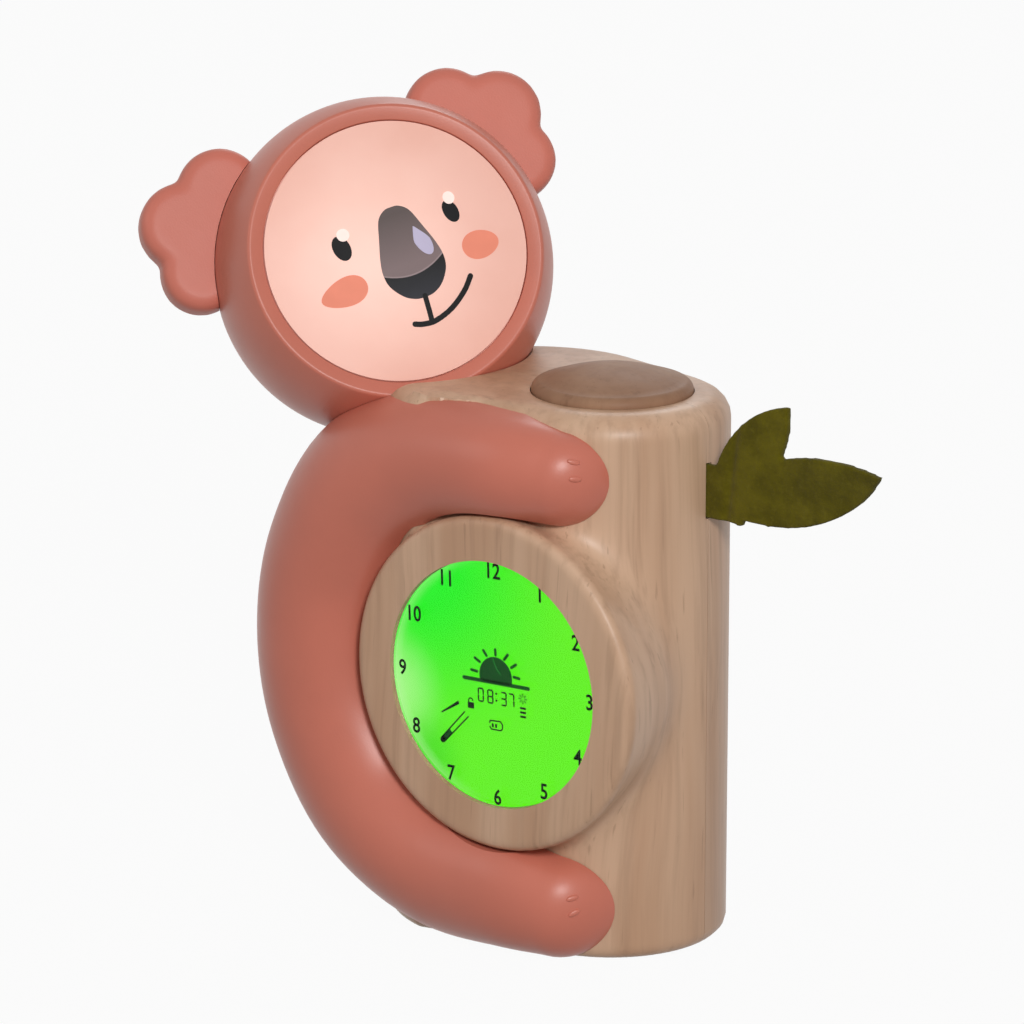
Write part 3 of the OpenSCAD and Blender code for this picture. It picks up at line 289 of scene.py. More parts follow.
def material(name, colour, **sockets):
    made = bpy.data.materials.new(name)
    made.use_nodes = True
    tree = made.node_tree
    shader = tree.nodes["Principled BSDF"]
    place = Wire(tree, tree.nodes.new("ShaderNodeTexCoord").outputs["Object"])
    for key, value in {"Base_Color": colour, **sockets}.items():
        target = shader.inputs[key.replace("_", " ")]
        if callable(value):
            value = value(place)
        if isinstance(value, Wire):
            tree.links.new(value.socket, target)
        else:
            target.default_value = value
    return made


# %% [markdown]
# ## Satin coral plastic
# The koala is moulded in a coloured plastic with a fine eggshell texture from the mould. The real
# surface is one colour, so what gives it life is a faint cloudiness of the pigment, a satin
# gloss that changes a little from place to place, and a grain of a few tenths of a millimetre.

# %% Moulded plastic, in any colour
def moulded(name, colour, depth=0.06, gloss=0.38, grain=2600, tone=0.93, **more):
    def clouds(place):
        return blend(place.noise(38, 3).step(0.35, 0.68), toned(colour, tone), colour)

    def sheen(place):
        return gloss + (place.noise(90, 4) - 0.5) * 0.12

    def eggshell(place):
        return (place.noise(grain, 2) + place.noise(grain / 7, 2) * 0.7).bump(depth * MM, 0.35)

    return material(name, clouds, Roughness=sheen, Normal=eggshell, **more)


SHELL_SHINE = 0.36
coral = moulded("coral_plastic", paint(202, 115, 95), Coat_Weight=0.1, Coat_Roughness=0.3,
                Specular_IOR_Level=SHELL_SHINE)
ear_coral = moulded("ear_plastic", paint(207, 118, 100), gloss=0.46, depth=0.08,
                    Specular_IOR_Level=SHELL_SHINE)
print("plastics:", coral.name, ear_coral.name)

# %% [markdown]
# ## Printed wood grain
# The trunk is plastic with a water-transfer print of pale oak. Such a print has three layers that
# can be built separately: broad warm and cool bands along the trunk, thin growth lines, and short
# dark pores. All of them are noise pulled long along Z. A slow noise moves the coordinates first,
# so that the lines wander and bend where the collar swells out of the trunk.

# %% Wood print
def wood(name, light, mid, dark, gloss=0.42, shine=SHELL_SHINE, coat=0.1):
    fine = (430, 430, 9)

    def warp(place):
        slow = place.stretched((14, 14, 9)).noise(1, 2, colour=True)
        return place.moved(slow.times(0.016))

    def grain(place):
        bent = warp(place)
        bands = bent.stretched((62, 62, 5.5)).noise(1, 3, 0.55)
        lines = bent.stretched(fine).noise(1, 4, 0.6)
        pores = bent.stretched((900, 900, 34)).noise(1, 2, 0.5).step(0.66, 0.74)
        streaks = bent.stretched((240, 240, 16)).noise(1, 3, 0.6).step(0.6, 0.76)
        ground = blend(bands.step(0.36, 0.66), mid, light)
        lined = blend(lines.step(0.42, 0.72) * 0.26, ground, dark)
        streaked = blend(streaks * 0.5, lined, dark)
        return blend(pores * 0.35, streaked, dark)

    def sheen(place):
        return gloss + (place.stretched((300, 300, 20)).noise(1, 3) - 0.5) * 0.16

    def relief(place):
        return warp(place).stretched(fine).noise(1, 4, 0.6).bump(0.05 * MM, 0.3)

    return material(name, grain, Roughness=sheen, Normal=relief, Coat_Weight=coat,
                    Coat_Roughness=0.35, Specular_IOR_Level=shine)


trunk_wood = wood("wood_print", paint(207, 171, 142), paint(189, 149, 119), paint(141, 106, 81))
# The button wears the trunk's wood print in darker tones: painted shade, since its top faces up and takes
# less light.
shaded_button_wood = wood("button_print_shaded", paint(158, 122, 96), paint(146, 110, 86), paint(120, 88, 67),
                   gloss=0.5, shine=0.14, coat=0.02)
print("wood prints:", trunk_wood.name, shaded_button_wood.name)

# %% [markdown]
# ## The other finishes
# The face cover is milky plastic with lamps behind it, so it glows most where the lamps sit low on
# the left of the nose. The display is a green lit glass: greener at the upper left, and paler at
# the left edge, where the lamp shines in. Glow is Emission Color, which can change over a surface.

# %% Lit cover and lit display
FACE_CENTRE = mm(-62, 0, 138.2)
HEAD_TURNS = ((48, "Z"), (-24, "X"), (-17.5, "Y"), (90, "X"))
head_turn = Matrix.Identity(3)
for degrees, about in HEAD_TURNS:
    head_turn = head_turn @ Matrix.Rotation(math.radians(degrees), 3, about)
face_frame = Matrix.Translation(FACE_CENTRE) @ head_turn.to_4x4()
HEAD_R, FACE_R, LIP_R = 37.0, 28.6, 32.0
FACE_INSET, DOME = 0.8, 2.0
lip_w = math.sqrt(HEAD_R ** 2 - LIP_R ** 2)
face_w = lip_w - FACE_INSET
dome_r = (FACE_R ** 2 + DOME ** 2) / (2 * DOME)


def on_face(u, v, lift=0.0):
    """A place on the domed face cover, u across and v up it, lifted a little off it."""
    w = face_w + DOME - dome_r + math.sqrt(dome_r ** 2 - u * u - v * v)
    return face_frame @ mm(u, v, w + lift)


def face_glow(place):
    near = place.distance(tuple(on_face(-6.5, 0.5)))
    return blend(1 - near.step(0.001, 0.034), paint(146, 96, 84), paint(240, 214, 204))


def milky(place):
    return blend(place.noise(60, 3).step(0.3, 0.7), paint(234, 182, 166), paint(239, 190, 175))


cover_milk = material("milky_cover", milky, Emission_Color=face_glow, Emission_Strength=0.36,
                      Roughness=lambda p: 0.46 + (p.noise(120, 3) - 0.5) * 0.08,
                      Normal=lambda p: p.noise(1800, 2).bump(0.03 * MM, 0.25),
                      Specular_IOR_Level=0.14)


GLASS_Y = -0.0292


def display_green(place):
    corner = place.distance((-0.030, GLASS_Y, 0.086))
    edge = place.distance((-0.0365, GLASS_Y, 0.055))
    low_left = place.distance((-0.027, GLASS_Y, 0.041))
    middle = place.distance((-0.0075, GLASS_Y, 0.061))
    base = blend(corner.step(0.008, 0.046), paint(20, 236, 26), paint(98, 238, 20))
    shaded = blend((1 - low_left.step(0.002, 0.013)) * 0.6, base, paint(52, 208, 16))
    lit = blend((1 - edge.step(0.002, 0.0165)) * 0.62, shaded, paint(190, 250, 160))
    rim = middle.step(0.0245, 0.0290) * (place.axis(0) * -70 - 0.7).clamp()
    return blend(rim * 0.5, lit, paint(196, 250, 170))


display = material("lit_display", paint(12, 40, 8), Emission_Color=display_green,
                   Emission_Strength=1.0, Roughness=lambda p: 0.45 + p.noise(200, 2) * 0.05,
                   Specular_IOR_Level=0.05)
print("lit finishes:", cover_milk.name, display.name)

# %% [markdown]
# ## Inks, felt, clear plastic and the hidden parts
# The marks on the face and on the dial are pad-printed inks, slightly glossy. Felt is matted wool
# fibre: a mottled olive with a strong fine bump and no gloss. The parts inside keep their own
# finishes too, because they show through the openings and when the clock is opened.

# %% Small finishes
def ink(name, colour, gloss=0.55, **more):
    return material(name, lambda p: blend(p.noise(160, 3).step(0.3, 0.75), colour, toned(colour, 1.07)),
                    Roughness=lambda p: gloss + (p.noise(400, 3) - 0.5) * 0.1,
                    Specular_IOR_Level=0.16, **more)


def felt_tone(place):
    broad = blend(place.noise(130, 4, 0.6).step(0.34, 0.7), paint(80, 73, 8), paint(101, 93, 15))
    return blend(place.noise(900, 3, 0.7).step(0.5, 0.75) * 0.35, broad, paint(112, 104, 34))


felt = material("olive_felt", felt_tone, Roughness=lambda p: 0.92 + p.noise(300, 2) * 0.08,
                Normal=lambda p: (p.noise(1500, 5, 0.7) + p.noise(260, 3) * 1.6).bump(0.4 * MM, 0.55),
                Sheen_Weight=0.08, Sheen_Roughness=0.5, Specular_IOR_Level=0.1)
clear = material("clear_lens", paint(250, 255, 250), IOR=1.49, Transmission_Weight=1.0,
                 Roughness=lambda p: 0.01 + p.noise(80, 2) * 0.008,
                 Specular_Tint=(0.1, 0.1, 0.1, 1), Specular_IOR_Level=0.1)
black_ink = ink("black_ink", paint(12, 12, 14))
dial_ink = ink("dial_ink", paint(8, 30, 12), 0.5)
sun_ink = ink("sun_ink", paint(8, 88, 26), 0.5)
gleam_ink = ink("gleam_ink", paint(18, 150, 44), 0.5)
bright_steel = paint(196, 196, 200)
steel = material("plated_steel",
                 lambda p: blend(p.noise(300, 4).step(0.4, 0.7), bright_steel, toned(bright_steel, 0.82)),
                 Metallic=1.0, Roughness=lambda p: 0.3 + (p.noise(700, 3) - 0.5) * 0.2)
board = material("board_green",
                 lambda p: blend(p.noise(420, 1).step(0.49, 0.53), paint(20, 92, 52), paint(28, 112, 66)),
                 Roughness=lambda p: 0.4 + p.noise(150) * 0.1)
rubber = moulded("grey_rubber", paint(62, 60, 58), gloss=0.75, depth=0.1)
white_plastic = moulded("white_plastic", paint(232, 230, 224), gloss=0.45)
dark_plastic = moulded("dark_plastic", paint(38, 38, 40), gloss=0.42)
cream_keys = moulded("cream_plastic", paint(235, 222, 200), gloss=0.4)
coral_key = moulded("coral_key_plastic", paint(214, 120, 96), gloss=0.4)
wrap = moulded("cell_wrap", paint(70, 130, 190), gloss=0.3)
cone_paper = moulded("cone_paper", paint(52, 50, 48), gloss=0.85, depth=0.3)
lamp_white = material(
    "lamp_white", paint(250, 240, 215), Emission_Strength=0.6,
    Emission_Color=lambda p: blend(p.noise(900), paint(255, 238, 200), paint(255, 248, 230)),
    Roughness=lambda p: 0.3 + p.noise(900) * 0.1)
print(len(bpy.data.materials), "materials")

# %% [markdown]
# ## Give every solid its finish
# The record sorts the solids into material slots. One table turns a slot's name into a finish, so
# that no solid is left plain, and a solid's own material slots are the only thing changed on it.

# %% Dress the solids
FINISHES = {
    "coral_shell": coral, "coral_ear": ear_coral, "wood_shell": trunk_wood,
    "wood_button": shaded_button_wood, "felt": felt, "clear": clear, "display": display,
    "diffuser": cover_milk, "guide": white_plastic, "white_plastic": white_plastic,
    "dark_plastic": dark_plastic, "coral_key": coral_key, "cream_key": cream_keys,
    "grey_key": white_plastic, "steel": steel, "board": board, "lamp": lamp_white,
    "connector_strip": rubber, "rubber": rubber, "cell_wrap": wrap, "cable": dark_plastic,
    "cone_paper": cone_paper,
}
for part in frame["record"]["subparts"]:
    for place in frame["nodes"][part["node"]].material_slots:
        place.material = FINISHES[part["material_slot"]]
print("dressed", len(frame["nodes"]), "solids")


def deliver(piece, finish, body, *nodes):
    """Gives a finished piece its material, its body if it has only one, and the solids it replaces."""
    piece.data.materials.clear()
    piece.data.materials.append(finish)
    if body:
        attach(piece, body)
    if nodes:
        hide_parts(*nodes)
    count(piece)


# %% [markdown]
# ## The trunk's outline
# Seen from above the trunk is an egg: a small round at the front right and a larger one under the
# koala, with straight sides between them. It could be scaled from a cylinder, but then the sides
# would bulge. Here every point of a circle is slid onto whichever round it belongs to, which is
# the shape a string takes when it is pulled tight around both.

# %% The egg and its column
TRUNK_R, HUG_R, DEPTH, TRUNK_H, FOOT = 25.3, 31.0, 22.0, 120.0, 0.4
TOP_ROUND, FOOT_ROUND = 5.5, 3
WALL = 2.2
ROUND_POINTS = 160
egg_turn = math.asin((HUG_R - TRUNK_R) / DEPTH)


def trunk_depth_at(x):
    """How far the trunk's side is from the seam."""
    if x > -TRUNK_R * math.sin(egg_turn):
        return math.sqrt(max(1, TRUNK_R ** 2 - x * x))
    return (TRUNK_R - x * math.sin(egg_turn)) / math.cos(egg_turn)


def egg_column(name, grow, low, high, foot_round, top_round):
    """The trunk's upright form, larger all round by grow."""
    column = disc(name, ROUND_POINTS)

    def onto_egg(point):
        angle = math.atan2(point.y, point.x)
        if abs(angle) < math.pi / 2 + egg_turn:
            return mm(math.cos(angle) * (TRUNK_R + grow), math.sin(angle) * (TRUNK_R + grow), low)
        return mm(math.cos(angle) * (HUG_R + grow) - DEPTH, math.sin(angle) * (HUG_R + grow), low)

    shape(column, onto_egg)
    with editing(column, "FACE", whole=True):
        bpy.ops.mesh.extrude_region_move(TRANSFORM_OT_translate={"value": mm(0, 0, high - low)})
        take_all()
        bpy.ops.mesh.normals_make_consistent(inside=False)
        for wanted, rounding in ((1, top_round), (-1, foot_round)):
            if rounding:
                pick(column, lambda centre, normal: normal.z * wanted > 0.9)
                bpy.ops.mesh.bevel(offset=rounding * MM, segments=10, profile=0.5, affect="EDGES")
    return column


def round_drum(name, x, z, side, low, high, radius, high_radius=None, rounding=0, points=ROUND_POINTS):
    """A round form along Y, from low to high on one side of the trunk's seam."""
    drum = disc(name, points, radius * MM, location=mm(x, side * low, z),
                rotation=(math.radians(90), 0, 0))
    settle(drum)
    with editing(drum, "FACE", whole=True):
        bpy.ops.mesh.extrude_region_move(TRANSFORM_OT_translate={"value": mm(0, side * (high - low), 0)})
        if high_radius:
            grow = high_radius / radius
            bpy.ops.transform.resize(value=(grow, 1, grow), center_override=mm(x, side * high, z))
        take_all()
        bpy.ops.mesh.normals_make_consistent(inside=False)
        if rounding:
            pick(drum, lambda centre, normal: normal.y * side > 0.9)
            bpy.ops.mesh.bevel(offset=rounding * MM, segments=8, profile=0.5, affect="EDGES")
    return drum


def ball(name, centre, radius):
    made = fresh(name, bpy.ops.mesh.primitive_uv_sphere_add, segments=96, ring_count=48,
                 radius=radius * MM, location=centre)
    settle(made)
    return made


def block(name, low, high):
    low, high = Vector(low), Vector(high)
    made = fresh(name, bpy.ops.mesh.primitive_cube_add, size=1, location=(low + high) / 2 * MM,
                 scale=(high - low) * MM)
    settle(made)
    return made


def merge(piece, operation, *tools):
    """Adds each tool's form to the piece or takes it out, and removes the tool."""
    for tool in tools:
        modify(piece, "BOOLEAN", operation=operation, solver="EXACT", object=tool)
        bpy.data.objects.remove(tool)


def cut(piece, *tools):
    merge(piece, "DIFFERENCE", *tools)


# %% [markdown]
# ## The trunk's front, with the dial's collar growing out of it
# On the real clock the collar doesn't stand on the trunk like a can. Its side sweeps into the bark
# in a soft hollow curve. A bevel can't follow that corner, since its angle changes all the way
# round. So the two forms are fused by a voxel remesh, and only the points near the corner are
# smoothed, many times, until the corner relaxes into a curve. Everywhere else the points are
# drawn back onto the exact forms with Shrinkwrap, so the rest keeps its true shape.

# %% Fuse the collar and the trunk
DIAL_X, DIAL_Z, COLLAR_R, REACH, OPENING_R = -7.5, 61.0, 37.0, 33.0, 27.0
COLLAR_FLARE, COLLAR_ROUND = 7, 2.5
SWEEP_R, SWEEP_FADE = 14, 7
SEAM_STRIP, STRIP_FADE = 4, 6
SIDE_ANGLE, SIDE_FADE = 76, 14
FAR = 99

exact = egg_column("exact_form", 0, FOOT, TRUNK_H, FOOT_ROUND, TOP_ROUND)
merge(exact, "UNION", round_drum("drum", DIAL_X, DIAL_Z, -1, 0, REACH, COLLAR_R - COLLAR_FLARE, COLLAR_R,
                                 COLLAR_ROUND))
only(exact)
bpy.ops.object.duplicate()
trunk_front = named("trunk_front")
modify(trunk_front, "REMESH", mode="VOXEL", voxel_size=0.9 * MM, use_smooth_shade=True)


def share(value):
    return max(0.0, min(1.0, value))


def corner_nearness(point):
    """1 in the corner between collar and trunk, 0 away from it."""
    x, y, z = (c / MM for c in point)
    across = math.hypot(x - DIAL_X, z - DIAL_Z)
    side = COLLAR_R - COLLAR_FLARE + COLLAR_FLARE * min(1, -y / (REACH - COLLAR_ROUND))
    from_drum = abs(across - side) if -y < REACH - 3 else FAR
    from_trunk = abs(trunk_depth_at(x) + y)
    reach = max(from_drum, from_trunk) if across > side - 1 else FAR
    away = abs(math.degrees(math.atan2(z - DIAL_Z, x - DIAL_X)))
    near = share((SWEEP_R - reach) / SWEEP_FADE)
    return near * share((-y - SEAM_STRIP) / STRIP_FADE) * share((SIDE_ANGLE - away) / SIDE_FADE)


def weigh(piece, group, rule):
    weights = piece.vertex_groups.new(name=group)
    for point in piece.data.vertices:
        weights.add([point.index], rule(point.co), "REPLACE")


weigh(trunk_front, "corner", corner_nearness)
modify(trunk_front, "SMOOTH", factor=0.5, iterations=6)
modify(trunk_front, "SHRINKWRAP", target=exact, wrap_method="NEAREST_SURFACEPOINT")
modify(trunk_front, "SMOOTH", factor=0.6, iterations=170, vertex_group="corner")
bpy.data.objects.remove(exact)
print("fused with", len(trunk_front.data.vertices), "points")

# %% [markdown]
# ## Hollow the shell and cut its openings
# A moulded shell has an even wall, so the skin gets its thickness inwards. The dial, the button,
# the base plate and the leaf's slot each go through the wall, and the front half stops
# at the seam, which runs up the trunk's side.

# %% Wall, seam and openings
GAP, SEAT_GAP = 0.2, 0.25
BUTTON_R, BUTTON_GAP = 17.3, 0.25
SLOT_LOW, SLOT_HIGH = (20, -1.05, 95.9), (30, 1.05, 108.1)
BASE_INSET, BASE_TOP = 8.2, 3.5
cut(trunk_front, ball("head_seat", FACE_CENTRE, HEAD_R + SEAT_GAP))
with editing(trunk_front, whole=True):
    bpy.ops.mesh.bisect(plane_co=(0, -0.0001, 0), plane_no=(0, 1, 0), clear_outer=True, use_fill=False,
                        threshold=0.0001 * MM)
modify(trunk_front, "SOLIDIFY", thickness=WALL * MM, offset=-1, use_even_offset=True, use_rim=True)
button_hole = fresh("button_hole", bpy.ops.mesh.primitive_cylinder_add, vertices=128,
                    radius=(BUTTON_R + BUTTON_GAP) * MM, depth=12 * MM, location=mm(0, 0, TRUNK_H))
settle(button_hole)
slot = block("leaf_slot", SLOT_LOW, SLOT_HIGH)
cut(trunk_front, round_drum("lens_hole", DIAL_X, DIAL_Z, -1, 20, 40, OPENING_R),
    button_hole, slot, egg_column("base_hole", -BASE_INSET, -2, BASE_TOP, 0, 0))
smooth(trunk_front, 35)
deliver(trunk_front, trunk_wood, "clock", "trunk_front_shell")

# %% [markdown]
# ## The koala's body
# Arms, back and legs are one thick form that follows the collar round, like a bent sausage that
# swells at the back. Its line is a smooth curve through about ten stations. A curve object with a
# round bevel would give a round section, but this one is deeper than it is wide and flat at the
# seam, so a flat grid is bent round it instead: its rows go along the line, and its columns
# go over the back from seam to seam.

# %% The line that the limbs follow
BACK_T, ARM_T, LEG_T = 33.8, 20.4, 23.0
HAND_X, HAND_Z, FOOT_Z, REAR_DRAW = 12, 45.4, -49.0, 8
ARMS = ((90, 0), (115, 0.4), (138, 0.96), (160, 1), (180, 1))
LEGS = ((200, 1), (222, 0.94), (245, 0.5), (270, 0))
CREST, HUG = 36.8, 2.4


def drawn_back(side):
    """The limbs behind the trunk are a little shorter than those in front."""
    return REAR_DRAW if side > 0 else 0


def stations(side):
    """Each is a place on the line, the half width there, and the height of its cap and its base."""
    def around(angle, swell, limb):
        thick = limb + (BACK_T - limb) * swell
        cap = 10.5 + 9.0 * swell
        reach = COLLAR_R + GAP + (thick - HUG) / 2
        a = math.radians(angle)
        return (reach * math.cos(a), reach * math.sin(a), (thick + HUG) / 2, cap, CREST - cap)

    paw_x = HAND_X - drawn_back(side)
    on_trunk = trunk_depth_at(DIAL_X + paw_x) - 1
    hand = (paw_x, HAND_Z, ARM_T / 2, 9.5, on_trunk)
    foot = (paw_x, FOOT_Z, LEG_T / 2, 10.5, on_trunk)
    arms = [around(*s, ARM_T) for s in ARMS if side < 0 or s[0] > 90]
    legs = [around(*s, LEG_T) for s in LEGS if side < 0 or s[0] < 270]
    return [hand, *arms, *legs, foot]


def smooth_line(points, steps):
    """A curve through all the points, as a line with steps pieces from each to the next."""
    line = []
    for i in range(len(points) - 1):
        a, b = points[max(i - 1, 0)], points[i]
        c, d = points[i + 1], points[min(i + 2, len(points) - 1)]
        for k in range(steps):
            t = k / steps
            line.append(tuple(
                0.5 * (2 * q + (r - p) * t + (2 * p - 5 * q + 4 * r - s) * t * t
                       + (3 * q - p - 3 * r + s) * t ** 3) for p, q, r, s in zip(a, b, c, d)))
    return line + [points[-1]]


# %% Bend a grid over the line
def limb_form(name, side, inset=0.0, steps=9, arc=30, tips=12):
    """One side's limbs and back, smaller by inset all round, with a round tip at each end."""
    line = smooth_line(stations(side), steps)
    rows = []
    for i, spot in enumerate(line):
        before, after = line[max(i - 1, 0)], line[min(i + 1, len(line) - 1)]
        along = Vector((after[0] - before[0], after[1] - before[1])).normalized()
        rows.append((spot, along, 1.0, 0.0))
    for end, away in ((0, -1), (-1, 1)):
        spot, along = rows[end][0], rows[end][1]
        ring = []
        for k in range(1, tips + 1):
            a = math.pi / 2 * k / tips
            ring.append((spot, along, math.cos(a), (spot[2] - inset) * math.sin(a) * away))
        rows = ring[::-1] + rows if end == 0 else rows + ring
    last = len(rows) - 1
    limb = fresh(name, bpy.ops.mesh.primitive_grid_add, x_subdivisions=last, y_subdivisions=arc + 2,
                 size=1)

    def over_the_back(point):
        spot, along, shrink, shift = rows[round((point.x + 0.5) * last)]
        j = round((point.y + 0.5) * (arc + 2))
        x, z = spot[0] + shift * along.x, spot[1] + shift * along.y
        reach = (spot[2] - inset) * shrink
        cap = max(0.02, (spot[3] - inset) * shrink)
        base = spot[4] if shift == 0 else max(3, trunk_depth_at(DIAL_X + x) - 1)
        if j in (0, arc + 2):
            across, deep = (reach if j == 0 else -reach), (-0.4 if inset else 0.06)
        else:
            a = math.pi * (j - 1) / arc
            across, deep = reach * math.cos(a), base + cap * math.sin(a)
        return mm(DIAL_X + x + across * along.y, side * deep, DIAL_Z + z - across * along.x)

    shape(limb, over_the_back)
    with editing(limb, "EDGE", whole=True):
        bpy.ops.mesh.remove_doubles(threshold=0.004 * MM)
        take_all(False)
        bpy.ops.mesh.select_non_manifold(extend=False)
        bpy.ops.mesh.edge_face_add()
        take_all()
        bpy.ops.mesh.normals_make_consistent(inside=False)
    return limb


# %% [markdown]
# ## Cut the body to what it hugs
# The body lies against the trunk, the collar and the head with a hair's gap. The same forms, a
# little larger, are taken out of it. Only the trunk's top edge is rounded more than it is, so that
# the arms dip into it and no gap shows there. Doing that again with forms larger by the wall,
# inside a thinner copy of the body, gives the hollow of the shell.

# %% Front and rear halves of the body
PANEL_X, PANEL_R = -20.0, 27.0
DIP_ROUND = 7.5


def limits(grow, side):
    ring_x, ring_r = (DIAL_X, COLLAR_R) if side < 0 else (PANEL_X, PANEL_R)
    return (egg_column("hugged", GAP + grow, FOOT - GAP - grow, TRUNK_H + GAP + grow, 0, DIP_ROUND),
            round_drum("ringed", ring_x, DIAL_Z, side, -1, 60, ring_r + GAP + grow),
            ball("seat", FACE_CENTRE, HEAD_R + SEAT_GAP + grow),
            block("table", (-150, -80, -60), (150, 80, FOOT + grow)))


body_halves = {}
for side, name in ((-1, "body_front"), (1, "body_rear")):
    half = limb_form(name, side)
    cut(half, *limits(0, side))
    hollow = limb_form("hollow", side, inset=WALL, steps=5, arc=16, tips=5)
    cut(hollow, *limits(WALL, side))
    cut(half, hollow)
    body_halves[side] = half
    print(name, len(half.data.polygons), "faces")

# %% [markdown]
# ## Screws in the body's back
# Three screws hold the two halves from behind, each at the bottom of a round well, so the rear
# half gets three wells.

# %% Screw wells
WELL_ANGLES, WELL_FLOOR, WELL_R = (158, 180, 202), 6, 3.1
spine = COLLAR_R + GAP + BACK_T / 2
for angle in map(math.radians, WELL_ANGLES):
    x, z = DIAL_X + spine * math.cos(angle), DIAL_Z + spine * math.sin(angle)
    cut(body_halves[1], round_drum("well", x, z, 1, WELL_FLOOR, 60, WELL_R, points=48))
for side, node in ((-1, "body_front_shell"), (1, "body_rear_shell")):
    smooth(body_halves[side], 35)
    deliver(body_halves[side], coral, "clock", node)

# %% [markdown]
# ## Claws
# Each paw has two small nails moulded into it. They are flat almond shapes that barely rise out
# of the paw, so a ball is squeezed to an almond, and laid on the surface where a ray meets it.

# %% Lay the nails on the paws
NAILS = ((10.6, 111.7, -0.3), (11.4, 108.2, -0.1), (11.5, 16.4, 0.2), (12.1, 13.2, 0.4))
NAIL_LONG, NAIL_WIDE, NAIL_THICK, NAIL_POINTED = 1.75, 0.62, 0.34, 180


def almond(name, x, z, lean, side):
    _, spot, normal, _ = body_halves[side].ray_cast(mm(x, side * 80, z), Vector((0, -side, 0)))
    nail = fresh(name, bpy.ops.mesh.primitive_uv_sphere_add, segments=24, ring_count=12, radius=1 * MM)
    shape(nail, lambda p: Vector((p.x * NAIL_LONG * (1 - NAIL_POINTED * abs(p.x)), p.y * NAIL_WIDE,
                                  p.z * NAIL_THICK)))
    nail.matrix_world = (Matrix.Translation(spot) @ normal.to_track_quat("Z", "Y").to_matrix().to_4x4()
                         @ Matrix.Rotation(lean, 4, "Z"))
    settle(nail)
    return nail


claws = joined("claws", *[almond("nail", x - drawn_back(side), z, lean, side)
                          for side in (-1, 1) for x, z, lean in NAILS])
smooth(claws, 60)
deliver(claws, coral, "clock")

# %% [markdown]
# ## The head
# The head is a ball with a round window. Turning one half of its section about the line that the
# koala looks along makes the whole shell at once, wall and lip included, so the lip's rounding
# is drawn only once. Spin leaves a seam where it ends, which is merged afterwards.

# %% Turn the head's front shell
def outline_piece(name, points):
    """A closed line of points in the XZ plane, in millimetres, drawn by extruding one point."""
    piece = fresh(name, bpy.ops.mesh.primitive_plane_add, size=1)
    with editing(piece, whole=True):
        bpy.ops.mesh.merge(type="CENTER")
        here = mm(points[0][0], 0, points[0][1])
        bpy.ops.transform.translate(value=here)
        for x, z in points[1:]:
            there = mm(x, 0, z)
            bpy.ops.mesh.extrude_vertices_move(TRANSFORM_OT_translate={"value": there - here})
            here = there
        take_all()
        mesh = bmesh.from_edit_mesh(piece.data)
        for point in mesh.verts:
            point.select_set(len(point.link_edges) == 1)
        bmesh.update_edit_mesh(piece.data)
        bpy.ops.mesh.edge_face_add()
    return piece


def turned(piece, steps=144):
    with editing(piece, "EDGE", whole=True):
        bpy.ops.mesh.spin(steps=steps, angle=math.tau, center=(0, 0, 0), axis=(0, 0, 1))
    outward(piece)
    return piece


def rounded(corner, before, after, radius, steps):
    """Points of an arc that rounds the corner between two straight runs."""
    c, a, b = Vector(corner), Vector(before), Vector(after)
    u, v = (a - c).normalized(), (b - c).normalized()
    half = u.angle(v) / 2
    start, end = c + u * radius / math.tan(half), c + v * radius / math.tan(half)
    middle = c + (u + v).normalized() * radius / math.sin(half)
    spokes = [(start - middle).lerp(end - middle, k / steps).normalized() for k in range(steps + 1)]
    return [tuple(middle + spoke * radius) for spoke in spokes]


def arc(radius, first, last, steps):
    """Points on a circle round the middle, between two angles from the head's line."""
    angles = [first + (last - first) * k / steps for k in range(steps + 1)]
    return [(radius * math.sin(a), radius * math.cos(a)) for a in angles]


SPLIT, SEAT_LOW, SEAT_R = -5.0, 12.6, 30.7
RIM_T, WINDOW_GAP = 2.4, 0.15
ledge = face_w - RIM_T
window_r = FACE_R + WINDOW_GAP
outer = arc(HEAD_R, math.acos(SPLIT / HEAD_R), math.asin((LIP_R + 0.5) / HEAD_R), 40)
lip = rounded((LIP_R, lip_w), outer[-1], (window_r, face_w), 0.9, 6)
rim = rounded((window_r, face_w), (LIP_R, lip_w), (window_r, ledge), 0.25, 3)
inner_r = HEAD_R - WALL
inner = arc(inner_r, math.acos(SEAT_LOW / inner_r), math.acos(SPLIT / inner_r), 14)
section = outer[:-1] + lip + rim + [(window_r, ledge), (SEAT_R, ledge), (SEAT_R, SEAT_LOW)] + inner
head_front = turned(outline_piece("head_front", section))
head_front.matrix_world = face_frame
settle(head_front)
smooth(head_front, 50)
deliver(head_front, coral, "clock", "head_front_shell")

# %% [markdown]
# ## Ears
# An ear is a flat cushion with a scalloped edge. Four discs make the scallops. Fused and smoothed,
# they lose their corners and keep shallow hollows between the lobes, which no single outline with
# a bevel gives as softly. The ball of the head is then cut out of the ear with a thin gap.

# %% Fuse the lobes of an ear
LOBES = ((27.0, 28.4, 9.4), (37.4, 23.8, 9.6), (37.4, 12.8, 8.8), (30.0, 18.0, 12.0))
EAR_T, EAR_ROUND, EAR_GAP = 10, 2.6, 0.15


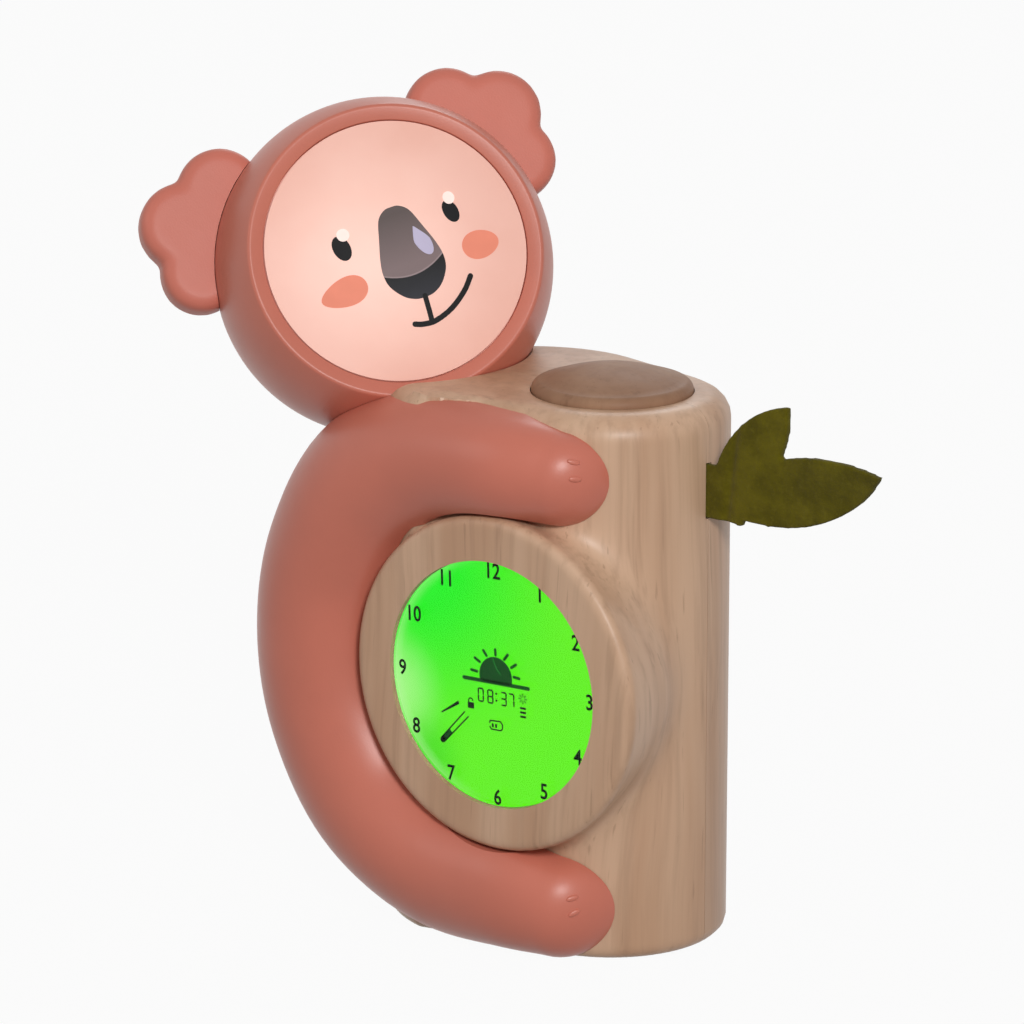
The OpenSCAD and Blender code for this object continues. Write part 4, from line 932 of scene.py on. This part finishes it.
def ear(name, side):
    lobes = []
    for x, y, radius in LOBES:
        lobe = fresh("lobe", bpy.ops.mesh.primitive_cylinder_add, vertices=96, radius=radius * MM,
                     depth=EAR_T * MM, location=mm(side * x, y, SPLIT))
        with editing(lobe, "FACE"):
            pick(lobe, lambda centre, normal: abs(normal.z) > 0.9)
            bpy.ops.mesh.bevel(offset=EAR_ROUND * MM, segments=5, profile=0.5, affect="EDGES")
        settle(lobe)
        lobes.append(lobe)
    made = joined(name, *lobes)
    modify(made, "REMESH", mode="VOXEL", voxel_size=0.7 * MM, use_smooth_shade=True)
    modify(made, "SMOOTH", factor=0.6, iterations=14)
    made.matrix_world = face_frame
    settle(made)
    cut(made, ball("head_ball", FACE_CENTRE, HEAD_R + EAR_GAP))
    smooth(made, 45)
    return made


deliver(ear("left_ear", -1), ear_coral, "clock", "ear_left")
deliver(ear("right_ear", 1), ear_coral, "clock", "ear_right")

# %% [markdown]
# ## Smooth copies of exact solids
# Some solids already have the right shape, but their flat facets catch the light. A solid's mesh
# is loose triangles and is never changed. A copy is merged point to point, and then its shallow
# edges are shaded smooth while its real edges stay sharp.

# %% Copy, merge and smooth
def smooth_copy(node, name, finish, body):
    copy = added(name, frame["nodes"][node].data.copy())
    copy.data.name = name
    with editing(copy, whole=True):
        bpy.ops.mesh.remove_doubles(threshold=0.002 * MM)
        bpy.ops.mesh.customdata_custom_splitnormals_clear()
    smooth(copy, 32)
    deliver(copy, finish, body, node)
    return copy


smooth_copy("trunk_rear_shell", "trunk_rear", trunk_wood, "clock")
smooth_copy("head_rear_shell", "head_rear", coral, "clock")
smooth_copy("top_button", "button_cap", shaded_button_wood, "top_button")

# %% [markdown]
# ## The spring under the button
# The spring stands on its bracket and carries the button. On the clock a press makes it shorter:
# its lowest turn stays, its highest turn goes with the button, and the turns between share the
# travel. This cell makes it a smoothed copy of its solid, with its place written into its mesh.

# %% Spring under the button
spring = smooth_copy("button_spring", "return_spring", steel, None)
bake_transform(spring)

# %% [markdown]
# ## The printed face
# The features are printed on the domed cover. Each is a thin flat shape that is laid on the
# dome: a disc of many points is reshaped to its outline, and every point is put on the dome by the
# dome's own formula. A decal image would be quicker, but shapes stay sharp at any distance.

# %% Shapes laid on the dome
INK_T = 0.05


def printed(name, outline, lift=INK_T, points=64):
    """A filled outline on the face. It gives (u, v) for an angle and for a share of the reach."""
    piece = fresh(name, bpy.ops.mesh.primitive_circle_add, vertices=points, radius=1, fill_type="TRIFAN")
    with editing(piece, whole=True):
        bpy.ops.mesh.subdivide(number_cuts=3)
    shape(piece, lambda p: on_face(*outline(math.atan2(p.y, p.x), math.hypot(p.x, p.y)), lift))
    modify(piece, "SOLIDIFY", thickness=INK_T * MM, offset=-1)
    outward(piece)
    return piece


def oval(u, v, half_wide, half_tall, lean=0.0, egg=0.0):
    """An ellipse, leant over, and narrowed towards one end by egg."""
    def outline(angle, reach):
        x, y = math.cos(angle) * half_wide * reach, math.sin(angle) * half_tall * reach
        y *= 1 + egg * x / half_wide
        return (u + x * math.cos(lean) - y * math.sin(lean), v + x * math.sin(lean) + y * math.cos(lean))
    return outline


# each a height, from the nose's top to its bottom, and the half width there
NOSE = ((8.95, 0.0), (8.7, 1.7), (7.0, 3.6), (2.7, 5.15), (-1.5, 6.5), (-4.6, 7.0), (-7.4, 6.5),
        (-10.2, 4.5), (-11.6, 2.2), (-11.95, 0.0))
NOSE_LINE = smooth_line(NOSE, 8)
NOSE_U, NOSE_V = 2.0, -3.0


def nose_outline(angle, reach):
    last = len(NOSE_LINE) - 1
    place = abs((math.degrees(angle) - 90 + 180) % 360 - 180) / 180 * last
    i = min(last - 1, int(place))
    v, wide = Vector(NOSE_LINE[i]).lerp(Vector(NOSE_LINE[i + 1]), place - i)
    across = wide if math.cos(angle) > 0 else -wide
    return NOSE_U + across * reach, NOSE_V + (v - NOSE_V) * reach


# %% Eyes, cheeks and nose
OVER_INK = 0.12
eyes = joined("eyes", printed("eye", oval(-11.25, 4.1, 1.9, 2.85, 0.14)),
              printed("eye", oval(14.1, 3.8, 1.65, 2.6, 0.16)))
glints = joined("eye_glints", printed("glint", oval(-9.95, 6.75, 1.4, 1.4), OVER_INK),
                printed("glint", oval(14.75, 6.7, 1.3, 1.4), OVER_INK))
cheeks = joined("cheeks", printed("cheek", oval(-14.2, -5.1, 5.3, 3.1, 0.06, 0.25)),
                printed("cheek", oval(17.6, -5.1, 4.15, 3.1, -0.05, -0.12)))
nose = printed("nose", nose_outline, points=96)


def drop_outline(angle, reach):
    """Round below, drawn out to a point above, and leant to the left."""
    c, s = math.cos(angle), math.sin(angle)
    wide = 1.75 - 1.25 * max(0, s) ** 1.2
    return 5.75 + c * wide * reach + 0.28 * s * reach * -2.6, -0.1 + s * 3.5 * reach


drop = printed("nose_glint", drop_outline, OVER_INK, 48)
print("print on the face:", eyes.name, glints.name, cheeks.name, nose.name, drop.name)

# %% [markdown]
# ## Strokes
# A stroke with round ends is a small disc of which one half is pulled away to the far end. A chain
# of such strokes draws the smile, the dial's hands and the figures of the display.

# %% Strokes, and the smile drawn with them
def stroke(name, start, end, width, place, points=16):
    """A capsule from start to end; place gives the point in space for a flat (x, y)."""
    a, b = Vector(start), Vector(end)
    along = (b - a).normalized()
    piece = disc(name, points, width / 2)

    def pulled(p):
        base = b if p.x * along.x + p.y * along.y > -1e-6 else a
        return place(base.x + p.x, base.y + p.y)

    shape(piece, pulled)
    return piece


def chain(name, points, width, place):
    return joined(name, *[stroke(name, a, b, width, place) for a, b in zip(points, points[1:])])


def thickened(piece, depth=INK_T):
    modify(piece, "SOLIDIFY", thickness=depth * MM, offset=0)
    outward(piece)


def on_skin(u, v):
    return on_face(u, v, 0.04)


GRIN = ((-2.3, -16.6), (-0.6, -17.2), (2.2, -17.4), (6.4, -16.1), (10.4, -13.5), (12.9, -10.9))
STEM = ((1.95, -11.6), (1.7, -14.5), (1.45, -17.0))
smile = joined("smile", chain("grin", smooth_line(GRIN, 5), 1.2, on_skin),
               chain("stem", STEM, 1.15, on_skin))
thickened(smile, 0.06)


def nose_shade(place):
    """Grey-brown above, lighter lower down; black below a curved edge, grey towards the bottom as a
    painted highlight; a thin pale line between.
    """
    u, v = (place.node("ShaderNodeVectorMath", {"operation": "DOT_PRODUCT"}, out=1, _0=place,
                       _1=tuple(row[:3])) + row[3] for row in face_frame.inverted()[:2])
    from_middle = u - 0.0014
    edge = v - (from_middle * from_middle * 42.0 - 0.0066)
    upper = blend((v * 90 + 0.35).clamp(), paint(132, 114, 114), paint(96, 84, 82))
    # The black turns grey towards the nose's bottom: a painted highlight.
    lower = blend((v * -160 - 0.9).clamp(), paint(8, 8, 10), paint(40, 40, 47))
    split = blend(edge.step(-0.0001, 0.0001), lower, upper)
    line = edge.step(-0.0001, 0.00005) * (1 - edge.step(0.0002, 0.00035))
    return blend(line * 0.55, split, paint(176, 156, 158))


# The pale inks give off a little light: painted glow, for the lamps behind the cover shining through
# them.
glowing_glint_ink = ink("glowing_glint_ink", paint(250, 226, 217), Emission_Color=paint(250, 226, 217),
                Emission_Strength=0.22)
glowing_cheek_ink = ink("glowing_cheek_ink", paint(230, 138, 114), Emission_Color=paint(238, 144, 116),
                Emission_Strength=0.12)
nose_ink_and_highlight = material("nose_ink_and_highlight", nose_shade, Roughness=lambda p: 0.5 + p.noise(300) * 0.06,
                    Specular_IOR_Level=0.2)
lilac_ink = ink("lilac_ink", paint(196, 188, 214))
for piece, tone in ((eyes, black_ink), (glints, glowing_glint_ink), (cheeks, glowing_cheek_ink), (nose, nose_ink_and_highlight),
                    (drop, lilac_ink), (smile, black_ink)):
    deliver(piece, tone, "clock")

# %% [markdown]
# ## The dial's marks
# The marks are dark shapes in one flat layer, laminated into the lens just under its front, so
# that the collar's edge hides none of them. Numbers come from the built-in font, made narrow and
# turned into a mesh before they are placed.

# %% Numbers round the dial
MARKS_Y, OVER_MARKS = -31.85, 0.06
HOUR_R, HOUR_TALL, FONT_NARROW, FONT_BOLD = 24.9, 3.5, 0.88, 0.017
marks_centre = Vector((DIAL_X + 0.5, DIAL_Z + 0.05))
marks_lean = math.radians(1.6)


def on_display(x, y, over=0.0):
    """A flat place on the display, measured from the middle of its marks."""
    c, s = math.cos(marks_lean), math.sin(marks_lean)
    return mm(marks_centre.x + x * c - y * s, MARKS_Y - over, marks_centre.y + x * s + y * c)


def over_marks(x, y):
    return on_display(x, y, OVER_MARKS)


def around_point(x, y, radius, angle):
    return x + radius * math.cos(angle), y + radius * math.sin(angle)


def number(text, x, y):
    words = fresh("words", bpy.ops.object.text_add)
    words.data.body = text
    words.data.align_x, words.data.align_y = "CENTER", "CENTER"
    words.data.resolution_u = 4
    words.data.offset = FONT_BOLD
    only(words)
    bpy.ops.object.convert(target="MESH")
    piece = named("number")
    heights = [point.co.y for point in piece.data.vertices]
    middle = (max(heights) + min(heights)) / 2
    grow = HOUR_TALL / (max(heights) - min(heights))
    shape(piece, lambda p: on_display(x + p.x * grow * FONT_NARROW, y + (p.y - middle) * grow))
    return piece


places = [around_point(0, 0, HOUR_R, math.radians(90 - 30 * hour)) for hour in range(1, 13)]
numbers = joined("dial_numbers", *[number(str(hour), *spot) for hour, spot in enumerate(places, 1)])
print("numbers:", len(numbers.data.polygons), "flat faces")

# %% [markdown]
# ## The picture in the middle
# A rising sun stands for the wake-up time, with the time below in seven-segment figures and
# small signs for the lock, the light, the sound level and the battery. A sign is made of
# strokes with round ends and of flat shapes, each a disc whose points are put on its corners.

# %% Seven-segment figures and signs
SEGMENTS = {"0": "abcdef", "3": "abcdg", "7": "abc", "8": "abcdefg"}
BARS = {"a": ((0, 1), (1, 1)), "b": ((1, 0.5), (1, 1)), "c": ((1, 0), (1, 0.5)),
        "d": ((0, 0), (1, 0)), "e": ((0, 0), (0, 0.5)), "f": ((0, 0.5), (0, 1)),
        "g": ((0, 0.5), (1, 0.5))}


def flat_shape(name, *corners):
    piece = disc(name, len(corners))
    for point, (x, y) in zip(piece.data.vertices, corners):
        point.co = on_display(x, y)
    return piece


def bar(name, x0, y0, x1, y1):
    return flat_shape(name, (x0, y0), (x1, y0), (x1, y1), (x0, y1))


def digit(figure, x, y, wide=1.3, tall=2.8, line=0.4):
    made = []
    for key in SEGMENTS[figure]:
        (ax, ay), (bx, by) = BARS[key]
        a = Vector((x + ax * wide, y + ay * tall))
        b = Vector((x + bx * wide, y + by * tall))
        gap = (b - a).normalized() * line * 0.6
        made.append(stroke("segment", a + gap, b - gap, line, on_display, 8))
    return made


TIME, TIME_PLACES, TIME_FOOT = "0837", (-4.5, -1.95, 1.6, 3.65), -4.25
SHACKLE = ((-7.15, -4.9), (-7.15, -4.4), (-6.9, -4.1), (-6.58, -4.0), (-6.27, -4.1), (-6.05, -4.5))
BATTERY = ((-1.62, -8.6), (-1.5, -8.14), (1.19, -8.0), (1.78, -8.64), (1.72, -9.6), (1.24, -10.0),
           (-1.2, -10.0), (-1.6, -9.5))
figures = [piece for figure, x in zip(TIME, TIME_PLACES) for piece in digit(figure, x, TIME_FOOT)]
figures += [stroke("colon", (0.3, y), (0.3, y + 0.01), 0.5, on_display, 12) for y in (-2.0, -3.5)]
figures += [bar("lock", -7.42, -6.27, -5.75, -4.92), chain("shackle", SHACKLE, 0.28, on_display)]
figures += [bar("level", 6.58, y - 0.24, 8.12, y + 0.24) for y in (-4.1, -5.03, -5.96)]
figures.append(chain("battery", BATTERY, 0.32, on_display))
figures += [bar("charge", x - 0.25, -9.55, x + 0.25, -8.7) for x in (-0.84, 0.05)]
figures += [flat_shape("hour_hand", (-14.65, -8.25), (-14.5, -8.52), (-9.7, -5.82), (-9.98, -5.12)),
            stroke("minute_hand", (-14.9, -14.2), (-8.37, -7.38), 0.32, on_display),
            stroke("minute_hand", (-14.1, -14.95), (-7.39, -8.29), 0.32, on_display),
            stroke("hand_tip", (-14.5, -14.55), (-14.2, -14.2), 1.15, on_display)]
figures = joined("dial_signs", *figures)
print("signs:", len(figures.data.polygons), "flat faces")

# %% The sun over its horizon
SUN_X, SUN_Y, SUN_R, SUN_FOOT = 0.25, 1.7, 4.35, 0.4
RAYS = (((-4.7, 2.2), (-6.2, 2.31)), ((-3.95, 4.4), (-5.2, 5.1)), ((-2.1, 6.05), (-2.85, 7.05)),
        ((0.34, 6.55), (0.31, 7.7)), ((2.65, 5.9), (3.6, 7.05)), ((4.5, 4.4), (5.7, 5.2)),
        ((5.1, 2.42), (6.5, 2.29)))
GLEAM = ((-0.41, 5.7), (0.1, 4.42), (0.73, 3.24), (1.59, 2.41))
dome = [around_point(SUN_X, SUN_Y, SUN_R, k * math.tau / 64) for k in range(64)]
sun = [flat_shape("sun", *[(x, max(SUN_FOOT, y)) for x, y in dome]),
       stroke("horizon", (-8.25, 0.35), (8.85, 0.42), 0.88, on_display),
       flat_shape("hand_fill", (-14.9, -14.2), (-14.1, -14.95), (-11.75, -12.6), (-12.5, -11.8))]
sun += [stroke("ray", near, far, 0.68, on_display, 12) for near, far in RAYS]
for k in range(8):
    near, far = (around_point(7.36, -2.0, radius, k * math.pi / 4) for radius in (0.5, 1.05))
    sun.append(stroke("lamp_sign", near, far, 0.26, on_display, 8))
sun = joined("sun_sign", *sun)
gleam = chain("sun_gleam", GLEAM, 0.22, over_marks)
for piece, tone in ((numbers, dial_ink), (figures, dial_ink), (sun, sun_ink), (gleam, gleam_ink)):
    thickened(piece)
    deliver(piece, tone, "clock")

# %% [markdown]
# ## The felt leaf
# The leaf is cut from thick wool felt. Cut felt has a soft edge, faces that are never quite flat
# and a pressed crease where the clip holds it. The solid's outline is right, so a merged copy
# is remeshed finely, softened at its edges, curled a little, and roughened with a noise.

# %% Leaf
CLIP_END, CREASE_X, CREASE_Z, BEND_Z = 29, 31, 102, 108
leaf = added("felt_leaf", frame["nodes"]["leaf"].data.copy())
outward(leaf)
modify(leaf, "REMESH", mode="VOXEL", voxel_size=0.45 * MM, use_smooth_shade=True)
modify(leaf, "SMOOTH", factor=0.5, iterations=5)
fibres = bpy.data.textures.new("fibres", "CLOUDS")
fibres.noise_scale, fibres.noise_depth = 1.6 * MM, 3
modify(leaf, "DISPLACE", texture=fibres, texture_coords="LOCAL", strength=0.14 * MM, mid_level=0.5)


def curled(p):
    """A crease where the clip ends, and a bend that grows outwards: one lobe forward, one back."""
    x, y, z = p / MM
    out = max(0.0, x - CLIP_END)
    crease = 0.45 * math.exp(-((x - CREASE_X - 0.12 * (z - CREASE_Z)) / 0.9) ** 2)
    bend = 0.0009 - 0.0021 / (1 + math.exp((BEND_Z - z) / 2.5))
    y += crease + bend * out * out + 0.18 * math.sin(x * 0.31) * min(1, out / 4)
    return mm(x, y, z)


shape(leaf, curled)
smooth(leaf, 70)
deliver(leaf, felt, "clock", "leaf")

# %% [markdown]
# ## The studio
# The clock stands on a pale floor that runs out into a white backdrop, under a soft lamp from the
# front right, weaker ones from the front left and from behind, and an even surrounding light. The
# lamps together light a surface at about its own colour.

# %% Floor and backdrop
scene = bpy.context.scene
scene.view_settings.view_transform = "Standard"
WHITE, SKY_LIGHT, FLOOR_SHINE = (1, 1, 1, 1), 0.31, 0.95


def seen_straight(tree):
    """1 for a ray from the camera, by way of a reflection or a lens too, and 0 for other light."""
    rays = tree.nodes.new("ShaderNodeLightPath")
    camera_ray, glossy_ray, lens_ray = (
        Wire(tree, rays.outputs[f"Is {kind} Ray"]) for kind in ("Camera", "Glossy", "Transmission"))
    return camera_ray.maths("MAXIMUM", glossy_ray).maths("MAXIMUM", lens_ray)


floor = fresh("floor", bpy.ops.mesh.primitive_plane_add, size=6, location=(0, 0, -0.0002))
settle(floor)
white = material("white_floor", paint(158, 156, 154), Roughness=0.9)
tree = white.node_tree
seen = seen_straight(tree)
lit = Wire(tree, tree.nodes["Principled BSDF"].outputs[0])
shine = seen.node("ShaderNodeEmission", Color=WHITE, Strength=1.0)
both = seen.node("ShaderNodeMixShader", _0=seen * FLOOR_SHINE, _1=lit, _2=shine)
tree.links.new(both.socket, tree.nodes["Material Output"].inputs["Surface"])
floor.data.materials.append(white)

scene.world = bpy.data.worlds.new("studio")
scene.world.use_nodes = True
sky = scene.world.node_tree
backdrop = sky.nodes["Background"]
light = seen_straight(sky) * (1 - SKY_LIGHT) + SKY_LIGHT
sky.links.new(light.socket, backdrop.inputs["Strength"])
backdrop.inputs["Color"].default_value = WHITE
print("floor:", white.name, "backdrop:", scene.world.name)

# %% Lamps
LIT_POINT = mm(-20, 0, 80)


def lamp(name, place, size, power):
    light = bpy.data.lights.new(name, "AREA")
    light.shape, light.size, light.energy = "DISK", size, power
    made = added(name, light)
    made.location = place
    made.rotation_euler = (Vector(place) - LIT_POINT).to_track_quat("Z", "Y").to_euler()


lamp("key", (0.86, -0.8, 0.72), 0.3, 9.8)
lamp("fill", (-0.6, -0.9, 0.7), 0.6, 1.2)
lamp("rim", (-0.5, 0.9, 0.8), 0.5, 1.6)
print(len(bpy.data.lights), "lamps")
